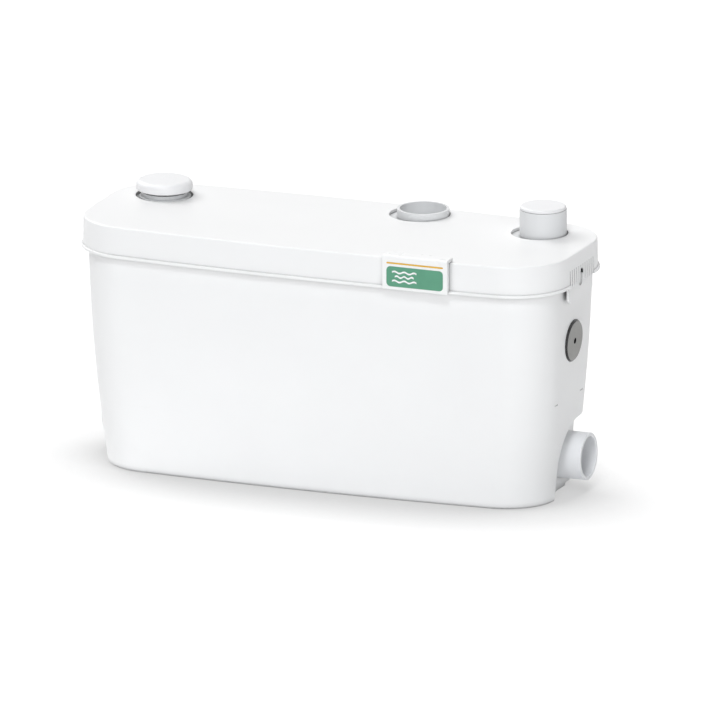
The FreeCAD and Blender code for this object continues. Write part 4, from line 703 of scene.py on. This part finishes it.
def islands(name):
    """The boxes of a solid's separate lumps, read from a welded copy of its mesh."""
    solid = frame["nodes"][name]
    form = bmesh.new()
    form.from_mesh(solid.data)
    bmesh.ops.remove_doubles(form, verts=form.verts, dist=0.01 * MM)
    left, found = set(form.verts), []
    while left:
        lump, waiting = set(), [left.pop()]
        while waiting:
            vert = waiting.pop()
            lump.add(vert)
            near = {edge.other_vert(vert) for edge in vert.link_edges} & left
            left -= near
            waiting += near
        corners = [solid.matrix_world @ vert.co for vert in lump]
        low = Vector([min(corner[axis] for corner in corners) for axis in range(3)])
        high = Vector([max(corner[axis] for corner in corners) for axis in range(3)])
        found.append((low, high))
    form.free()
    return found


screws = islands("deck_screws") + islands("motor_screws")
print("screws found:", len(screws))

# %% Cross recesses
CROSS_ARM, CROSS_HALF = 2.1 * MM, 0.5 * MM


def cross_outline():
    """Three corners of one arm, turned by a quarter four times."""
    outline = []
    for quarters in range(4):
        for x, y in ((CROSS_ARM, CROSS_HALF), (CROSS_HALF, CROSS_HALF), (CROSS_HALF, CROSS_ARM)):
            for _ in range(quarters):
                x, y = -y, x
            outline.append((x, y))
    return outline


# Painted shade: a flat black cross in each recess, in the black of the switch finish.
form = bmesh.new()
for low, high in screws:
    start = Vector(((low.x + high.x) / 2, (low.y + high.y) / 2, high.z - 0.2 * MM))
    raise_plate(form, cross_outline(), start, ACROSS, INWARDS, 0.24 * MM)
new_piece("screw_cross_shade", form, finishes["switch_black"], "tank_unit")

# %% [markdown]
# ## The cover under the lid
# With the lid off, the flat cover of the control box is what the hand meets first. Such a cover is
# stiffened by low ribs between two raised rails, so both are laid on it in its own plastic.

# %% Rails and ribs of the control cover
RIB_LENGTH, RIB_PITCH, RAIL_LENGTH, RAIL_AWAY = 50 * MM, 13 * MM, 84 * MM, 29 * MM
RIB_WIDTH, RIB_ROUND, RIB_SUNK, RIB_HEIGHT = 2 * MM, 0.9 * MM, 0.3 * MM, 1.3 * MM
cover_low, cover_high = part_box("control_cover")
cover_middle = Vector(((cover_low.x + cover_high.x) / 2,
                       (cover_low.y + cover_high.y) / 2,
                       cover_high.z - RIB_SUNK))
rib = rounded_outline(RIB_LENGTH, RIB_WIDTH, RIB_ROUND, 4)
rail = rounded_outline(RIB_WIDTH, RAIL_LENGTH, RIB_ROUND, 4)
spots = [(rib, INWARDS * RIB_PITCH * step) for step in range(-2, 3)]
spots += [(rail, ACROSS * RAIL_AWAY * way) for way in (1, -1)]
form = bmesh.new()
for outline, away in spots:
    raise_plate(form, outline, cover_middle + away, ACROSS, INWARDS, RIB_HEIGHT, 0.35 * MM)
cover_finish = frame["nodes"]["control_cover"].data.materials[0]
new_piece("control_cover_ribs", form, cover_finish, "tank_unit")
print("cover is", [round(x / MM, 1) for x in cover_high - cover_low], "mm")

# %% [markdown]
# ## The floor
# The unit stands on a plain white floor in a white room. The floor only has to show the shadow: soft,
# wide and pale grey near the foot, and pure white further out. Lamps alone would leave the far floor
# a little grey. So to the camera three quarters of the floor's light is its own glow, and the rest is
# what the lamps give. Both are shaded by how open a spot is, measured 16 cm round. To all other rays
# the floor is plain white paper that doesn't glow.

# %% Floor
GLOW, FLOOR_REACH = 0.75, 0.16
FLOOR_DIM, FLOOR_BRIGHT = 0.70, 1.17


def sheet_of_floor(half_size):
    mesh = bpy.data.meshes.new("floor")
    form = bmesh.new()
    bmesh.ops.create_grid(form, x_segments=8, y_segments=8, size=half_size)
    form.to_mesh(mesh)
    form.free()
    floor = bpy.data.objects.new("floor", mesh)
    scene.collection.objects.link(floor)
    return floor


floor = sheet_of_floor(4)
floor.location.z = -0.2 * MM
paper = Finish("floor_white", (1.0, 1.0, 1.0, 1.0), 0.9)
paper.set("Specular IOR Level", 0.0)
near = paper.openness(FLOOR_REACH, 16)
own_light = paper.swing(near, FLOOR_DIM, FLOOR_BRIGHT, 0.5, 1.0)
lamp_light = paper.swing(near, FLOOR_DIM * (1 - GLOW), FLOOR_BRIGHT * (1 - GLOW), 0.5, 1.0)
eye = paper.nodes.new("ShaderNodeLightPath").outputs["Is Camera Ray"]
paper.feed("Base Color", paper.blend(eye, (1, 1, 1, 1), lamp_light))
paper.feed("Emission Color", own_light)
paper.feed("Emission Strength", paper.swing(eye, 0, GLOW, 0, 1))
floor.data.materials.append(paper.material)
floor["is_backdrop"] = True
print("floor glows to the camera by", GLOW)

# %% [markdown]
# ## The room and the lamps
# The room is white to the camera and in reflections, and a soft grey as a light, which Light Path
# makes possible. Four suns shape the unit. The main one stands high behind the left end and makes the
# shade on the right. One straight above keeps the lid white. Two light the long front wall: a wide one
# from the right, and a narrow one from high in front, whose harder edge draws the shade under the
# lid's bead. The front ones are a touch blue, as the front wall is in the picture.

# %% Room
ROOM_LIGHT = 0.11
world = bpy.data.worlds.new("room")
scene.world = world
world.use_nodes = True
room = world.node_tree
room.nodes.clear()


def plain_light(strength):
    node = room.nodes.new("ShaderNodeBackground")
    node.inputs["Color"].default_value = (1, 1, 1, 1)
    node.inputs["Strength"].default_value = strength
    return node.outputs[0]


path = room.nodes.new("ShaderNodeLightPath")
seen = path.outputs["Is Camera Ray"]
for ray in ("Is Glossy Ray", "Is Transmission Ray"):
    either = room.nodes.new("ShaderNodeMath")
    either.operation = "MAXIMUM"
    room.links.new(seen, either.inputs[0])
    room.links.new(path.outputs[ray], either.inputs[1])
    seen = either.outputs[0]
choose = room.nodes.new("ShaderNodeMixShader")
room.links.new(seen, choose.inputs["Fac"])
room.links.new(plain_light(ROOM_LIGHT), choose.inputs[1])
room.links.new(plain_light(1.0), choose.inputs[2])
out = room.nodes.new("ShaderNodeOutputWorld")
room.links.new(choose.outputs[0], out.inputs["Surface"])
print("the room gives a light of", ROOM_LIGHT)

# %% Suns
FRONT_TINT = (0.965, 0.983, 1.0)


def wide_sun(name, came_from, strength, spread, colour=(1, 1, 1)):
    """A sun that shines from a direction; a wide spread gives the soft edge of a studio lamp."""
    lamp = bpy.data.lights.new(name, "SUN")
    lamp.energy = strength * math.pi
    lamp.angle = math.radians(spread)
    lamp.color = colour
    holder = bpy.data.objects.new(name, lamp)
    holder.rotation_mode = "QUATERNION"
    holder.rotation_quaternion = Vector(came_from).to_track_quat("Z", "Y")
    scene.collection.objects.link(holder)


wide_sun("main_sun", (-0.85, 0.35, 0.95), 0.50, 40)
wide_sun("top_sun", (0.0, 0.0, 1.0), 0.22, 50)
wide_sun("front_sun", (0.5, -1.0, 0.35), 0.32, 50, FRONT_TINT)
wide_sun("high_sun", (0.15, -0.8, 0.9), 0.28, 14, FRONT_TINT)
scene.view_settings.view_transform = "Standard"

# %% [markdown]
# ## Measure and finish
# The dressed unit should stay as large as the CAD model. The box round it, floor left out, is printed.

# %% Sizes
low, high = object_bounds()
print("visual box", [round(x, 4) for x in low], [round(x, 4) for x in high])
